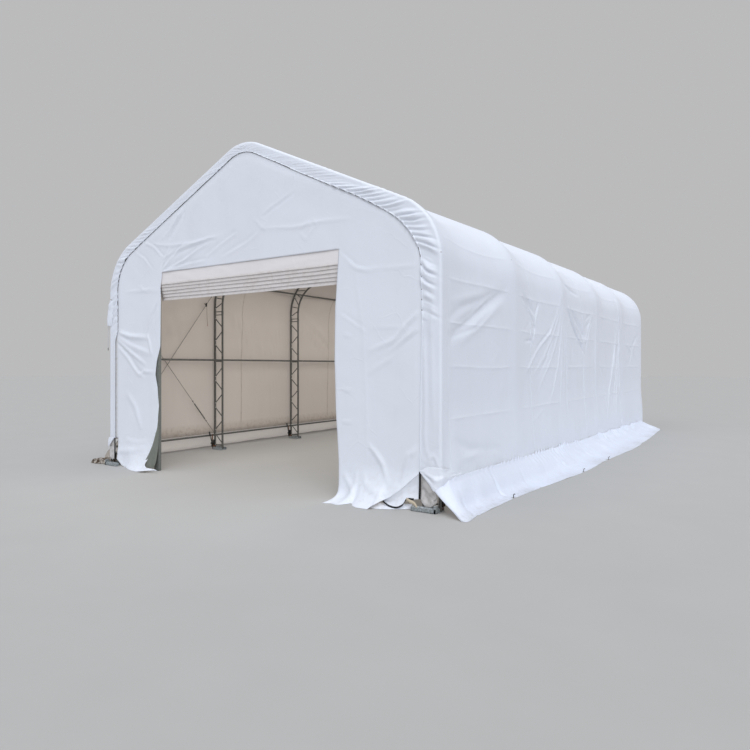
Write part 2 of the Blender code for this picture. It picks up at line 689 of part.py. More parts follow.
def main():
    """Build the whole shelter."""
    clear_scene()
    parts = make_collection(COLLECTION_NAME)
    helpers = make_collection(HELPER_COLLECTION_NAME)
    finishes = {name: make_finish(name) for name in FINISHES}
    build_trusses(parts, helpers, finishes["galvanised_steel"])
    build_purlins(parts, helpers, finishes["galvanised_steel"])
    build_cover(parts, finishes["white_fabric"])
    build_gable("front_gable_panel", -1, True, parts, helpers, finishes["white_fabric"])
    build_gable("rear_gable_panel", 1, False, parts, helpers, finishes["white_fabric"])
    for side, sign in (("right", 1), ("left", -1)):
        build_side_skirt(f"side_skirt_{side}", sign, parts, finishes["white_fabric"])
        build_tension_tube(f"tension_tube_{side}", sign, parts, helpers, finishes["ratchet_steel"])
        build_brace(f"front_brace_{side}", sign, parts, helpers, finishes["brace_cable"])
    build_door_frame(parts, finishes["painted_steel"])
    build_door_curtain(parts, finishes["door_fabric"])
    build_draw_rope("draw_rope_front", -1, parts, helpers, finishes["rope"])
    build_draw_rope("draw_rope_rear", 1, parts, helpers, finishes["rope"])
    build_hanging_cords(parts, helpers, finishes["rope"])


main()
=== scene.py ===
# %% [markdown]
# # A fabric storage shelter
# The shelter is a row of lattice steel trusses with one large sheet of woven plastic stretched
# over them. This lesson builds its looks around a model of its solids: the camera and the two
# loose cords first, then the finishes, the fabric, and last the steel and its fittings.

import math

import bmesh
import bpy
import numpy as np
from mathutils import Matrix, Vector


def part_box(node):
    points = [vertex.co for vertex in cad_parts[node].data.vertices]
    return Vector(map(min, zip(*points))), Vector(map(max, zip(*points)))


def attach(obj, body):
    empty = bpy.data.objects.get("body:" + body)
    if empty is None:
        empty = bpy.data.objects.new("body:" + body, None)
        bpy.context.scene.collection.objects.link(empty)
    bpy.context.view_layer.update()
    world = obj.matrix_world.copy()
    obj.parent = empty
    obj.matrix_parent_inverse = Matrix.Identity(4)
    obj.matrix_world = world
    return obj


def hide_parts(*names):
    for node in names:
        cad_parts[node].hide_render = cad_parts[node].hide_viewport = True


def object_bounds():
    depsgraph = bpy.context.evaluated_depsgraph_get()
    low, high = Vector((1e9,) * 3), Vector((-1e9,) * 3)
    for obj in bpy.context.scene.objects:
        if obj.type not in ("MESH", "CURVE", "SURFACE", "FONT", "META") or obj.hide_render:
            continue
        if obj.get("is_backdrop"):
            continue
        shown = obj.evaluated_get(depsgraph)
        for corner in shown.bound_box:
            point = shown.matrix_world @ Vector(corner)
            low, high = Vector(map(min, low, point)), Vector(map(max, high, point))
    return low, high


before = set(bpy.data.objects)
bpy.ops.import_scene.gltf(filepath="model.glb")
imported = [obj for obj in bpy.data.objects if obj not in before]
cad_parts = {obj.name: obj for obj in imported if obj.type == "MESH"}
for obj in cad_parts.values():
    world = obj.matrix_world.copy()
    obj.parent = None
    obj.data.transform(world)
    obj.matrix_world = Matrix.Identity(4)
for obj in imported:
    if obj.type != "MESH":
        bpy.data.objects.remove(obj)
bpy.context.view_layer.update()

# %% [markdown]
# The camera stands at eye height, about six metres in front of the right corner. Its optical axis
# is level, so the posts stay upright in the picture, and the small downward shift puts the
# horizon where it belongs.

# %% Camera
scene = bpy.context.scene


def placed(name, data):
    """A new object in the scene, at the origin."""
    item = bpy.data.objects.new(name, data)
    scene.collection.objects.link(item)
    return item


camera_data = bpy.data.cameras.new("camera")
camera_data.sensor_width = 36.0
camera_data.lens = 29.675
camera_data.shift_y = -0.01174
camera_data.clip_end = 200.0
camera = placed("camera", camera_data)
camera.location = (6.196, -11.5372, 1.6015)
camera.rotation_euler = (math.pi / 2, 0.0, 0.5888)
scene.camera = camera
scene.view_settings.view_transform = "Standard"
print("camera at", tuple(round(v, 2) for v in camera.location))

# %% [markdown]
# All lengths repeat those of the solids. A point of the arch is given by its station, the metres
# along the fabric from the ground, and by how far inside the outer face it lies. With numpy the
# same rule works for one point or for a whole grid of them.

# %% Sizes of the arch
HALF_WIDTH = 3.05
WALL_TOP = 2.76
SHOULDER_RADIUS = 0.86
ROOF_PITCH = math.radians(25.0)
RIDGE_RADIUS = 0.7
TRUSS_COUNT = 6
BAY = 2.2
FRONT_Y = -BAY * (TRUSS_COUNT - 1) / 2
TRUSS_YS = [FRONT_Y + BAY * i for i in range(TRUSS_COUNT)]
CHORD = 0.038
OUTER_CHORD = 0.0233
INNER_CHORD = 0.2283
MID_DEPTH = 0.1258
SHOULDER_TURN = math.pi / 2 - ROOF_PITCH
CENTRE_X = HALF_WIDTH - SHOULDER_RADIUS
NORMAL_X, NORMAL_Z = math.cos(SHOULDER_TURN), math.sin(SHOULDER_TURN)
ROOF_OFFSET = CENTRE_X * NORMAL_X + WALL_TOP * NORMAL_Z + SHOULDER_RADIUS
RIDGE_Z = (ROOF_OFFSET - RIDGE_RADIUS) / NORMAL_Z
SHOULDER_END = WALL_TOP + SHOULDER_RADIUS * SHOULDER_TURN
ROOF_RUN = (CENTRE_X + (SHOULDER_RADIUS - RIDGE_RADIUS) * NORMAL_X) / math.cos(ROOF_PITCH)
ROOF_END = SHOULDER_END + ROOF_RUN
RIDGE = ROOF_END + RIDGE_RADIUS * ROOF_PITCH
APEX = RIDGE_Z + RIDGE_RADIUS


def arch_point(station, inset):
    """X and Z of the right half of the arch, for numbers or arrays."""
    station, inset = np.broadcast_arrays(np.asarray(station, float), np.asarray(inset, float))
    turn = np.clip((station - WALL_TOP) / SHOULDER_RADIUS, 0.0, SHOULDER_TURN)
    crown = np.clip((station - ROOF_END) / RIDGE_RADIUS, 0.0, None)
    run = np.clip(station - SHOULDER_END, 0.0, ROOF_RUN)
    x = CENTRE_X + np.cos(turn) * (SHOULDER_RADIUS - inset) - NORMAL_Z * run
    z = WALL_TOP + np.sin(turn) * (SHOULDER_RADIUS - inset) + NORMAL_X * run
    over = station > ROOF_END
    x = np.where(over, np.cos(SHOULDER_TURN + crown) * (RIDGE_RADIUS - inset), x)
    z = np.where(over, RIDGE_Z + np.sin(SHOULDER_TURN + crown) * (RIDGE_RADIUS - inset), z)
    return x, np.where(station < WALL_TOP, station, z)


def over_arch(across, inset):
    """X and Z by the signed distance from the ridge, right side positive."""
    x, z = arch_point(RIDGE - np.abs(across), inset)
    return np.where(np.asarray(across) < 0.0, -x, x), z


print("ridge station", round(RIDGE, 3), "apex", round(APEX, 3))

# %% [markdown]
# Two cords hang free: the end of the draw rope at the front left corner, and the tail of the
# tensioner strap on the left bracing. Each is a curve with its own round section, a few
# centimetres out of plumb as a light cord is, and as long as it shows. Their tips are short
# sleeves, shrunk round the cut end.

# %% Loose cords
ROPE_DIAMETER = 0.009
TAIL_DIAMETER = 0.006
TIP_SLEEVE = 0.0012
CORD_KNOTS = 24
TIP_KNOTS = 3


def cord_curve(name, points, diameter):
    """A free cord as one spline with a round section."""
    curve = bpy.data.curves.new(name, "CURVE")
    curve.dimensions = "3D"
    curve.bevel_depth = diameter / 2
    curve.bevel_resolution = 4
    curve.use_fill_caps = True
    spline = curve.splines.new("POLY")
    spline.points.add(len(points) - 1)
    for knot, point in zip(spline.points, points):
        knot.co = (*point, 1.0)
    return placed(name, curve)


def hanging_points(top, bottom, sway):
    """Points straight down from an exit, with a slow sway that grows away from it."""
    share = np.linspace(0.0, 1.0, CORD_KNOTS)[:, None]
    lean = np.sin(share * math.pi * 1.4) * share
    return np.array(top) + (np.array(bottom) - top) * share + np.array(sway) * lean


def run_length(points):
    """Length of a line through points."""
    return sum(math.dist(a, b) for a, b in zip(points, points[1:]))


ROPE_TOP = (-3.077, FRONT_Y - 0.012, 2.38)
ROPE_PATH = hanging_points(ROPE_TOP, (-3.115, FRONT_Y - 0.014, 1.86), (-0.014, 0.004, 0.0))
low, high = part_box("brace_tail")
TAIL_TOP = ((low.x + high.x) / 2, (low.y + high.y) / 2, high.z)
tail_end = (TAIL_TOP[0] + 0.004, TAIL_TOP[1] + 0.01, low.z)
TAIL_PATH = hanging_points(TAIL_TOP, tail_end, (0.008, -0.012, 0.0))
hanging_rope = cord_curve("hanging_rope_end", ROPE_PATH, ROPE_DIAMETER)
brace_tail = cord_curve("brace_tail_strap", TAIL_PATH, TAIL_DIAMETER)
rope_tip = cord_curve("hanging_rope_tip", ROPE_PATH[-TIP_KNOTS:], ROPE_DIAMETER + TIP_SLEEVE)
tail_tip = cord_curve("brace_tail_tip", TAIL_PATH[-TIP_KNOTS:], TAIL_DIAMETER + TIP_SLEEVE)
print("rope end", round(run_length(ROPE_PATH), 3), "m, tail", round(run_length(TAIL_PATH), 3), "m")

# %% [markdown]
# The fabric is a coated weave, nearly white. Its inner face is painted beige grey: painted shade where
# little light comes, with the warm tint of the daylight that comes through. Shader arithmetic is written
# with a small class, so that a mask reads like a formula.


# %% Shader arithmetic
class Socket:
    """A socket of a material's tree that can be added, multiplied and raised to a power."""

    def __init__(self, finish, link):
        self.finish = finish
        self.link = link

    def _math(self, operation, first, second):
        return self.finish.node("Math", {"operation": operation}, {0: first, 1: second})

    def __add__(self, other):
        return self._math("ADD", self, other)

    def __rsub__(self, other):
        return self._math("SUBTRACT", other, self)

    def __mul__(self, other):
        return self._math("MULTIPLY", self, other)

    def __pow__(self, other):
        return self._math("POWER", self, other)


print("shader arithmetic:", "+ - * **")

# %% [markdown]
# A finish is one material with its tree of nodes. Every finish starts from the same shader, and
# one method adds any node, so that each of those below takes only a few lines.


# %% Finishes under construction
class Finish:
    """A material under construction: its tree, and one method that adds any node."""

    def __init__(self, name):
        self.material = bpy.data.materials.new(name)
        self.material.use_nodes = True
        self.tree = self.material.node_tree
        self.shader = self.tree.nodes["Principled BSDF"]

    def node(self, kind, settings, inputs, output=0):
        """Add a shader node, set it, feed its sockets and give one of its outputs."""
        made = self.tree.nodes.new(f"ShaderNode{kind}")
        for name, value in settings.items():
            setattr(made, name, value)
        for name, value in inputs.items():
            self.feed(made.inputs[name], value)
        return Socket(self, made.outputs[output])

    def feed(self, socket, value):
        """Link a socket or set its value."""
        if isinstance(value, Socket):
            self.tree.links.new(value.link, socket)
        else:
            socket.default_value = value

    def set(self, **values):
        """Feed the shader's own sockets; underscores stand for spaces."""
        for name, value in values.items():
            self.feed(self.shader.inputs[name.replace("_", " ")], value)

    def place(self, scale=(1.0, 1.0, 1.0)):
        """Object coordinates, scaled."""
        where = self.node("TexCoord", {}, {}, "Object")
        return self.node("Mapping", {}, {"Vector": where, "Scale": scale})

    def noise(self, size, detail=2.0, roughness=0.5, scale=(1.0, 1.0, 1.0), distortion=0.0):
        """Noise whose features are about size metres across."""
        given = {"Vector": self.place(scale), "Scale": 1.0 / size, "Detail": detail}
        given.update({"Roughness": roughness, "Distortion": distortion})
        return self.node("TexNoise", {}, given)

    def ramp(self, value, low, high):
        """A value spread from 0 at low to 1 at high, smooth at both ends."""
        return self.node("MapRange", {"interpolation_type": "SMOOTHSTEP"}, {0: value, 1: low, 2: high})

    def mix(self, share, first, second):
        """A colour between two colours."""
        return self.node("Mix", {"data_type": "RGBA"}, {0: share, 6: first, 7: second}, 2)

    def bump(self, height, depth, strength, **under):
        """A bump of so many metres, over the one that Normal gives."""
        return self.node("Bump", {}, {"Height": height, "Distance": depth, "Strength": strength, **under})


def tone(*screen):
    """A colour as a shader takes it, from screen values of 0 to 255."""
    shares = [value / 255 for value in screen]
    return (*(v / 12.92 if v < 0.0404 else ((v + 0.055) / 1.055) ** 2.4 for v in shares), 1.0)


print("the screen's 128 is", round(tone(128)[0], 3), "to a shader")

# %% [markdown]
# The outer face gets a fine weave, the soft dents left by packing, faint grey weather marks that run down,
# and dust near the ground. The inner face has the same weave, painted warmer and darker as painted shade,
# with a painted glow for the daylight that comes through the cloth.

# %% Fabric finishes
WEAVE_SCALE = 70.0
WEAVE_DEPTH = 0.0004
DENT_SIZE = 0.16
CRINKLE_SCALE = 2.6
CRINKLE_DEPTH = 0.0016
CRINKLE_WAVER = 0.09
DUSTY_HEIGHT = 0.75


def fabric(name, clean, dusty_and_shaded, mark_strength, roughness=0.5, dents=0.004, painted_glow=0.0, grime_and_shade_attribute="grime"):
    """A coated woven cloth; its glow is painted light, an emission that stands in for the daylight coming
    through it from behind.
    """
    made = Finish(name)
    clean, dusty_and_shaded = tone(*clean), tone(*dusty_and_shaded)
    marks = made.ramp(made.noise(0.9, 3.0, 0.55, (1.0, 1.0, 0.45)), 0.35, 0.8)
    streaks = made.ramp(made.noise(0.12, 4.0, 0.6, (1.0, 1.0, 0.1)), 0.5, 0.85)
    where = made.node("TexCoord", {}, {}, "Object")
    height = made.node("SeparateXYZ", {}, {0: where}, 2)
    low = 1.0 - made.ramp(height, 0.02, DUSTY_HEIGHT)
    blotch = made.ramp(made.noise(0.06, 4.0, 0.65), 0.42, 0.75)
    # The listed attribute darkens a sheet towards its darker colour: real dirt on some sheets, painted shade
    # on others.
    grime_and_shade_mark = made.node("Attribute", {"attribute_name": grime_and_shade_attribute}, {}, "Fac")
    grime = (marks * 0.35 + streaks * 0.2 + low * blotch * 0.9) * mark_strength + grime_and_shade_mark * (blotch * 0.5 + 0.5)
    made.set(Base_Color=made.mix(grime, clean, dusty_and_shaded), Roughness=roughness)
    threads = {"Vector": made.place(), "Scale": WEAVE_SCALE}
    warp, weft = (made.node("TexWave", {"bands_direction": axis}, threads) for axis in "ZY")
    weave = made.bump(warp * weft, WEAVE_DEPTH, 0.35)
    dented = made.bump(made.noise(DENT_SIZE, 3.0, 0.5, distortion=0.6), dents, 0.55, Normal=weave)
    waver = made.node("TexNoise", {}, {"Vector": made.place(), "Scale": 6.0}, 1)
    drift = {0: waver, 1: (CRINKLE_WAVER,) * 3, 2: made.place()}
    cells = {"Vector": made.node("VectorMath", {"operation": "MULTIPLY_ADD"}, drift), "Scale": CRINKLE_SCALE}
    edges = made.node("TexVoronoi", {"feature": "DISTANCE_TO_EDGE"}, cells)
    patches = made.ramp(made.noise(0.55, 2.0), 0.48, 0.68)
    crinkle = (1.0 - made.ramp(edges, 0.0, 0.06)) ** 2.0 * patches
    made.set(Normal=made.bump(crinkle, CRINKLE_DEPTH, 0.8, Normal=dented), Sheen_Weight=0.08, IOR=1.45)
    # Painted light: the cloth glows in its own clean colour, for the daylight that comes through it.
    if painted_glow:
        made.set(Emission_Color=clean, Emission_Strength=painted_glow)
    return made.material


DUSTY_AND_SHADED = (196, 194, 190)
outer_cloth = fabric("outer_cloth", (233, 239, 252), DUSTY_AND_SHADED, 0.22)
# Inner faces: the same cloth painted darker and warmer, as painted shade, with a painted glow for the light
# coming through.
shaded_inner_cloth = fabric("shaded_inner_cloth", (196, 189, 183), (148, 134, 122), 0.25, 0.6, painted_glow=0.1, grime_and_shade_attribute="seam")
shaded_skirt_inner = fabric("shaded_skirt_inner", (202, 197, 193), (176, 168, 160), 0.2, 0.6, painted_glow=0.36)
panel_cloth = fabric("panel_cloth", (234, 240, 252), DUSTY_AND_SHADED, 0.22)
skirt_cloth = fabric("skirt_cloth", (229, 237, 253), (150, 138, 122), 0.05)
# The door cloth's darker colour is the painted shade of its folds.
curtain_cloth = fabric("curtain_cloth", (240, 238, 242), (196, 186, 178), 0.3, dents=0.002)
# A dark brown mottled cloth for the crumpled end of the left skirt: dirt, with painted shade in its
# crumples.
dirt_and_shade_cloth = fabric("dirt_and_shade_cloth", (206, 200, 192), (76, 60, 48), 2.4, 0.7, 0.014)
lining_cloth = fabric("lining_cloth", (206, 205, 207), (150, 146, 142), 0.6, 0.6)
facing_cloth = fabric("facing_cloth", (120, 124, 118), (92, 96, 90), 0.4, 0.6)
print("cloth finishes made")

# %% [markdown]
# The steel is dull and dark indoors: galvanised tube with a mottled grey skin, grey green paint on
# the door posts, black plated ratchets, thin wire rope and brown webbing.

# %% Metal and cord finishes
RUST = tone(112, 74, 46)


def metal(name, light, dark, metallic, roughness, grain=0.02, rust=0.0):
    """A mottled metal or paint with faint scratches."""
    made = Finish(name)
    mottled = made.ramp(made.noise(grain, 4.0, 0.6), 0.3, 0.7)
    worn = made.ramp(made.noise(grain * 6, 3.0, 0.6), 0.4, 0.75)
    colour = made.mix(mottled, tone(*light), tone(*dark))
    if rust:
        spots = made.ramp(made.noise(0.035, 5.0, 0.7), 0.6, 0.72) * rust
        colour = made.mix(spots, colour, RUST)
    made.set(Base_Color=colour, Metallic=metallic, Roughness=mottled * 0.12 + worn * 0.1 + roughness)
    made.set(Normal=made.bump(made.noise(grain * 0.5, 3.0), 0.0003, 0.5))
    return made.material


def plaited(name, light, dark, pitch, roughness=0.8):
    """A laid rope or woven strap."""
    made = Finish(name)
    turns = {"Vector": made.place(), "Scale": 1.0 / pitch}
    lay = made.node("TexWave", {"bands_direction": "DIAGONAL"}, turns)
    colour = made.mix(lay * 0.6 + made.noise(pitch * 3) * 0.4, tone(*light), tone(*dark))
    made.set(Base_Color=colour, Roughness=roughness, Normal=made.bump(lay, pitch * 0.15, 0.7))
    return made.material


truss_steel = metal("truss_steel", (118, 118, 115), (88, 89, 88), 0.55, 0.42, rust=0.1)
plate_steel = metal("plate_steel", (190, 198, 202), (128, 136, 140), 0.5, 0.38, rust=0.25)
post_paint = metal("post_paint", (122, 127, 124), (102, 107, 106), 0.25, 0.45)
ratchet_black = metal("ratchet_black", (48, 48, 48), (28, 28, 28), 0.5, 0.4, 0.008)
wire_rope = plaited("wire_rope", (120, 116, 110), (70, 68, 66), 0.006, 0.5)
grey_rope = plaited("grey_rope", (230, 233, 238), (182, 185, 189), 0.012)
seam_rope = plaited("seam_rope", (112, 110, 108), (66, 64, 62), 0.012)
webbing = plaited("webbing", (132, 92, 64), (92, 64, 46), 0.004)
pale_webbing = plaited("pale_webbing", (214, 204, 184), (186, 172, 150), 0.004)
tail_webbing = plaited("tail_webbing", (146, 120, 110), (110, 92, 86), 0.003)
red_tip = plaited("red_tip", (190, 74, 58), (150, 52, 44), 0.003, 0.6)
hook_tape = plaited("hook_tape", (34, 36, 40), (16, 17, 19), 0.003, 0.9)
print("metal and cord finishes made")

# %% [markdown]
# The floor is one pale plane, and the sky has the same tone, so the ground runs on to the
# horizon. A very wide soft sun from above does the work of an overcast sky. Two dim panels inside
# stand for the light that a thin cloth lets through.

# %% Floor, sky and lights
FLOOR_HALF = 90
corners = [(x * FLOOR_HALF, y * FLOOR_HALF, 0) for x, y in ((-1, -1), (1, -1), (1, 1), (-1, 1))]
floor_mesh = bpy.data.meshes.new("floor")
floor_mesh.from_pydata(corners, [], [(0, 1, 2, 3)])
floor = placed("floor", floor_mesh)
ground = Finish("ground")
ground_colour = ground.mix(ground.noise(0.7, 3.0), tone(176, 176, 175), tone(181, 181, 180))
ground.set(Base_Color=ground_colour, Roughness=0.95)
floor_mesh.materials.append(ground.material)
floor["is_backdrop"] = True

world = bpy.data.worlds.new("sky")
world.use_nodes = True
sky = world.node_tree.nodes["Background"]
sky.inputs["Color"].default_value = tone(187, 187, 188)
sky.inputs["Strength"].default_value = 1.0
scene.world = world


def light(name, kind, power, colour, direction, **settings):
    """A light that shines along a direction; the settings are those of its kind."""
    data = bpy.data.lights.new(name, kind)
    data.energy = power
    data.color = colour
    for setting, value in settings.items():
        setattr(data, setting, value)
    item = placed(name, data)
    item.rotation_euler = Vector(direction).to_track_quat("-Z", "Y").to_euler()
    return item


DAYLIGHT = (0.95, 0.97, 1.0)
light("overcast", "SUN", 1.45, DAYLIGHT, (-0.1, 0.25, -1.0), angle=math.radians(80.0))
light("open_side", "SUN", 0.85, DAYLIGHT, (-0.62, 0.62, -0.5), angle=math.radians(35.0))
PANELS = (
    ("through_roof", 168.0, (1.0, 0.97, 0.93), (0.0, 0.0, -1.0), (4.0, 9.5), (0.0, 0.2, 3.6)),
    ("through_wall", 6.0, (1.0, 0.97, 0.94), (-1.0, 0.0, -0.1), (2.4, 1.6), (-0.8, -4.2, 1.5)),
)
for name, power, colour, direction, (width, depth), location in PANELS:
    panel = light(name, "AREA", power, colour, direction, shape="RECTANGLE", size=width, size_y=depth)
    panel.location = location
    panel.visible_camera = False
print("lights made")

# %% [markdown]
# The cover is computed, not simulated: its shape follows rules that a tent maker knows. Between
# two trusses the cloth sinks in; at each truss it lies on the chord. The bundle it came in left
# straight creases about half a metre apart, and pulls in the cloth leave folds that start where it
# is held. Every fold is a line on the cloth with a width, a height and a profile: a soft ridge, a
# sharp crease or a step.


# %% Fold tools
def smooth(low, high, value):
    """0 below low, 1 above high, and an even turn between."""
    share = np.clip((value - low) / (high - low), 0.0, 1.0)
    return share * share * (3.0 - 2.0 * share)


def fold_line(a, b, points, width, height, kind):
    """Height of one fold at every point (a, b); it fades towards both of its ends."""
    lengths = np.hypot(*(points[1:] - points[:-1]).T)
    best = np.full(a.shape, 1e9)
    signed = np.zeros(a.shape)
    share = np.zeros(a.shape)
    run = 0.0
    for start, end, length in zip(points, points[1:], lengths):
        along_a, along_b = (end - start) / length
        reach = np.clip((a - start[0]) * along_a + (b - start[1]) * along_b, 0.0, length)
        off_a = a - start[0] - along_a * reach
        off_b = b - start[1] - along_b * reach
        distance = np.hypot(off_a, off_b)
        nearer = distance < best
        best = np.where(nearer, distance, best)
        signed = np.where(nearer, off_b * along_a - off_a * along_b, signed)
        share = np.where(nearer, (run + reach) / lengths.sum(), share)
        run += length
    taper = np.sin(np.pi * np.clip(share, 0.001, 0.999)) ** 0.6
    if kind == "crease":
        shape = np.exp(-best / width)
    elif kind == "step":
        shape = -signed / width * np.exp(0.5 - 0.5 * (best / width) ** 2)
    else:
        shape = np.exp(-((best / width) ** 2))
    return height * taper * shape


def folds(a, b, lines):
    """Sum of many folds, listed by kind; a row is width, height, then its points one after another."""
    total = np.zeros(np.broadcast(a, b).shape)
    for kind, rows in lines.items():
        for width, height, *flat in rows:
            total += fold_line(a, b, np.reshape(flat, (-1, 2)), width, height, kind)
    return total


mid_fold = folds(np.array([0.5]), np.zeros(1), {"soft": [(0.05, 0.01, 0.0, 0.0, 1.0, 0.0)]})
print("a fold of 10 mm has", round(1000 * float(mid_fold[0]), 1), "mm in its middle")

# %% [markdown]
# Cloth is never quite even. Soft noise blends random values on the corners of a grid, and is
# always the same for the same seed.


# %% Soft noise
def soft_noise(a, b, size, seed):
    """Smooth random heights from -1 to 1 with features about size across."""
    grid = np.random.default_rng(seed).uniform(-1.0, 1.0, (64, 64))
    x, y = a / size + 31.7, b / size + 17.3
    i, j = np.floor(x).astype(int), np.floor(y).astype(int)
    s, t = x - i, y - j
    s, t = s * s * (3 - 2 * s), t * t * (3 - 2 * t)
    low = grid[i % 64, j % 64] * (1 - s) + grid[(i + 1) % 64, j % 64] * s
    high = grid[i % 64, (j + 1) % 64] * (1 - s) + grid[(i + 1) % 64, (j + 1) % 64] * s
    return low * (1 - t) + high * t


def line_noise(along, size, seed):
    """The same along a line."""
    return soft_noise(along, 0.0 * along, size, seed)


probe = line_noise(np.linspace(0.0, 9.0, 500), 0.5, 3)
print("noise from", round(float(probe.min()), 2), "to", round(float(probe.max()), 2))

# %% [markdown]
# The folds of the wall are listed bay by bay, as places along the building and stations.
# Packing creases are the same in every bay, but die out near a truss where the cloth is tight.

# %% Folds of the walls
CREASES = (1.01, 1.59, 2.1, 2.6, 3.07)
CREASE_HEIGHTS = (0.0035, 0.0055, 0.0065, 0.0085, 0.004)
CREASE_LINE = 0.0048
WALL_FOLDS = {
    "soft": [
        (0.072, -0.0319, -3.58, 2.62, -4.54, 2.25, -5.11, 2.01, -5.32, 1.88),
        (0.06, 0.0145, -3.72, 2.45, -4.45, 2.12, -5.05, 1.86),
        (0.051, -0.0159, -5.36, 2.12, -5.01, 2.27, -4.55, 2.39, -3.75, 2.6),
        (0.043, 0.0072, -5.3, 2.33, -4.8, 2.42, -4.2, 2.52),
        (0.06, -0.0174, -5.3, 0.76, -4.85, 0.62, -4.4, 0.54, -3.9, 0.52),
        (0.043, 0.0116, -5.25, 0.52, -4.6, 0.56, -4.0, 0.48),
        (0.043, -0.0232, -2.99, 2.63, -2.7, 2.53, -2.4, 2.38),
        (0.025, 0.0116, -2.95, 2.52, -2.62, 2.38, -2.4, 2.26), (0.025, -0.0116, -2.55, 2.22, -2.36, 2.16),
        (0.027, 0.0203, -0.84, 2.68, -0.36, 2.41, 0.32, 2.04),
        (0.072, -0.0319, -0.62, 2.62, -0.1, 2.38, 0.33, 2.1),
        (0.025, 0.0174, 0.8, 2.58, 0.55, 2.3, 0.34, 2.02), (0.024, -0.0116, 0.7, 2.6, 0.38, 2.47),
        (0.02, -0.0101, 0.62, 2.44, 0.36, 2.3), (0.025, 0.0058, 0.34, 2.06, 0.33, 1.7, 0.3, 1.2, 0.36, 0.8),
        (0.038, -0.0232, -0.9, 3.12, -0.47, 2.99, 0.08, 2.92),
        (0.036, 0.02, 3.1, 2.72, 2.82, 2.1, 2.27, 1.18, 1.8, 0.52),
        (0.034, 0.0174, 3.14, 2.4, 3.0, 1.6, 2.75, 0.9, 2.62, 0.52),
        (0.03, -0.0145, 3.02, 2.1, 2.7, 1.3, 2.4, 0.7), (0.043, 0.013, 1.05, 2.5, 1.0, 1.6, 1.08, 0.6),
        (0.038, 0.0116, 1.3, 1.9, 1.75, 1.2, 1.9, 0.6), (0.051, -0.0145, 5.2, 2.4, 4.6, 2.1, 4.1, 1.6),
        (0.051, 0.0101, 3.45, 2.5, 3.9, 2.1, 4.7, 1.9),
        (0.02, 0.01, -1.14, 2.86, -1.33, 2.4, -1.62, 2.05, -2.05, 1.72, -2.6, 1.42),
        (0.022, 0.012, -1.18, 2.8, -1.42, 2.4, -1.72, 2.12, -2.29, 1.86, -2.92, 1.46),
        (0.02, 0.01, -1.16, 2.6, -1.3, 2.2, -1.55, 1.85, -1.95, 1.5, -2.35, 1.2),
        (0.022, 0.012, -1.14, 2.45, -1.22, 2.0, -1.38, 1.6, -1.62, 1.2, -1.9, 0.92),
        (0.02, 0.01, -1.12, 2.3, -1.16, 1.8, -1.22, 1.3, -1.3, 0.8),
        (0.02, -0.01, -1.62, 2.24, -2.0, 2.04, -2.45, 1.82),
        (0.02, -0.01, -1.48, 2.2, -1.85, 1.76, -2.3, 1.45),
        (0.02, 0.01, -1.04, 2.6, -1.03, 1.8, -1.06, 0.9),
        (0.022, -0.03, -2.98, 2.58, -2.7, 2.44, -2.44, 2.24),
        (0.018, -0.022, -2.44, 2.24, -2.33, 2.42, -2.2, 2.58),
        (0.018, -0.018, -2.42, 2.24, -2.46, 2.1, -2.56, 1.98),
        (0.018, -0.018, -2.9, 1.96, -2.62, 1.99, -2.44, 1.9),
        (0.024, -0.032, -0.86, 2.62, -0.4, 2.3, 0.05, 2.0, 0.34, 1.8),
        (0.02, -0.026, 0.8, 2.54, 0.58, 2.26, 0.36, 1.9), (0.016, 0.01, -0.3, 2.06, 0.1, 2.04, 0.4, 2.06),
        (0.03, 0.012, -5.2, 2.02, -4.7, 2.2, -4.2, 2.44, -3.8, 2.6),
        (0.026, -0.012, -5.22, 1.93, -4.6, 2.06, -4.1, 2.3),
        (0.02, -0.009, -0.97, 2.5, -0.95, 1.6, -0.97, 0.6),
        (0.022, 0.01, -0.9, 2.55, -0.86, 1.7, -0.88, 0.7),
        (0.022, 0.01, 3.02, 2.8, 2.76, 2.1, 2.45, 1.4, 2.15, 0.8),
        (0.022, 0.012, 3.2, 2.6, 3.16, 1.8, 3.05, 1.0, 2.95, 0.6),
        (0.022, 0.01, 3.3, 2.4, 3.34, 1.6, 3.3, 0.8),
    ],
    "crease": [
        (0.016, 0.0043, -4.14, 1.6, -3.8, 1.82), (0.023, -0.0101, -2.42, 2.39, -2.18, 2.62),
        (0.016, -0.0058, -2.48, 2.36, -2.95, 2.08), (0.014, 0.0072, -2.02, 0.97, -2.8, 0.71),
        (0.013, 0.0058, -2.3, 1.9, -2.8, 1.52),
    ],
}
print("wall folds:", sum(len(rows) for rows in WALL_FOLDS.values()))

# %% [markdown]
# The inward sag between trusses grows from the foot to the shoulder, where the cloth is pulled
# across the bend, and fades again near the ridge. The turn over each chord is rounded, because a
# sheet of this weight can't take a sharp bend. Where the cover turns out at its foot, it gathers.

# %% Shape of the cover
HEM = 0.335
LEFT_HEM = 0.305
RUFFLE_TOP = 0.17
HEM_LINE = ((-5.5, HEM), (-4.1, 0.32), (-1.7, 0.275), (1.6, 0.225), (5.6, 0.16))
TUBE_BULGE = 0.05
CHORD_ROUND = 0.07
SAG = (
    (0.4, 0.006), (1.4, 0.022), (2.5, 0.045), (3.1, 0.085), (3.6, 0.105), (5.2, 0.1),
    (6.1, 0.055), (RIDGE, 0.03),
)


def through(value, pairs):
    """Heights of a line through (place, height) pairs."""
    return np.interp(value, *zip(*pairs))


def hem_height(y, right):
    """How high the seam with the skirt lies; on the right it comes down towards the rear."""
    return np.where(right, through(y, HEM_LINE), LEFT_HEM)


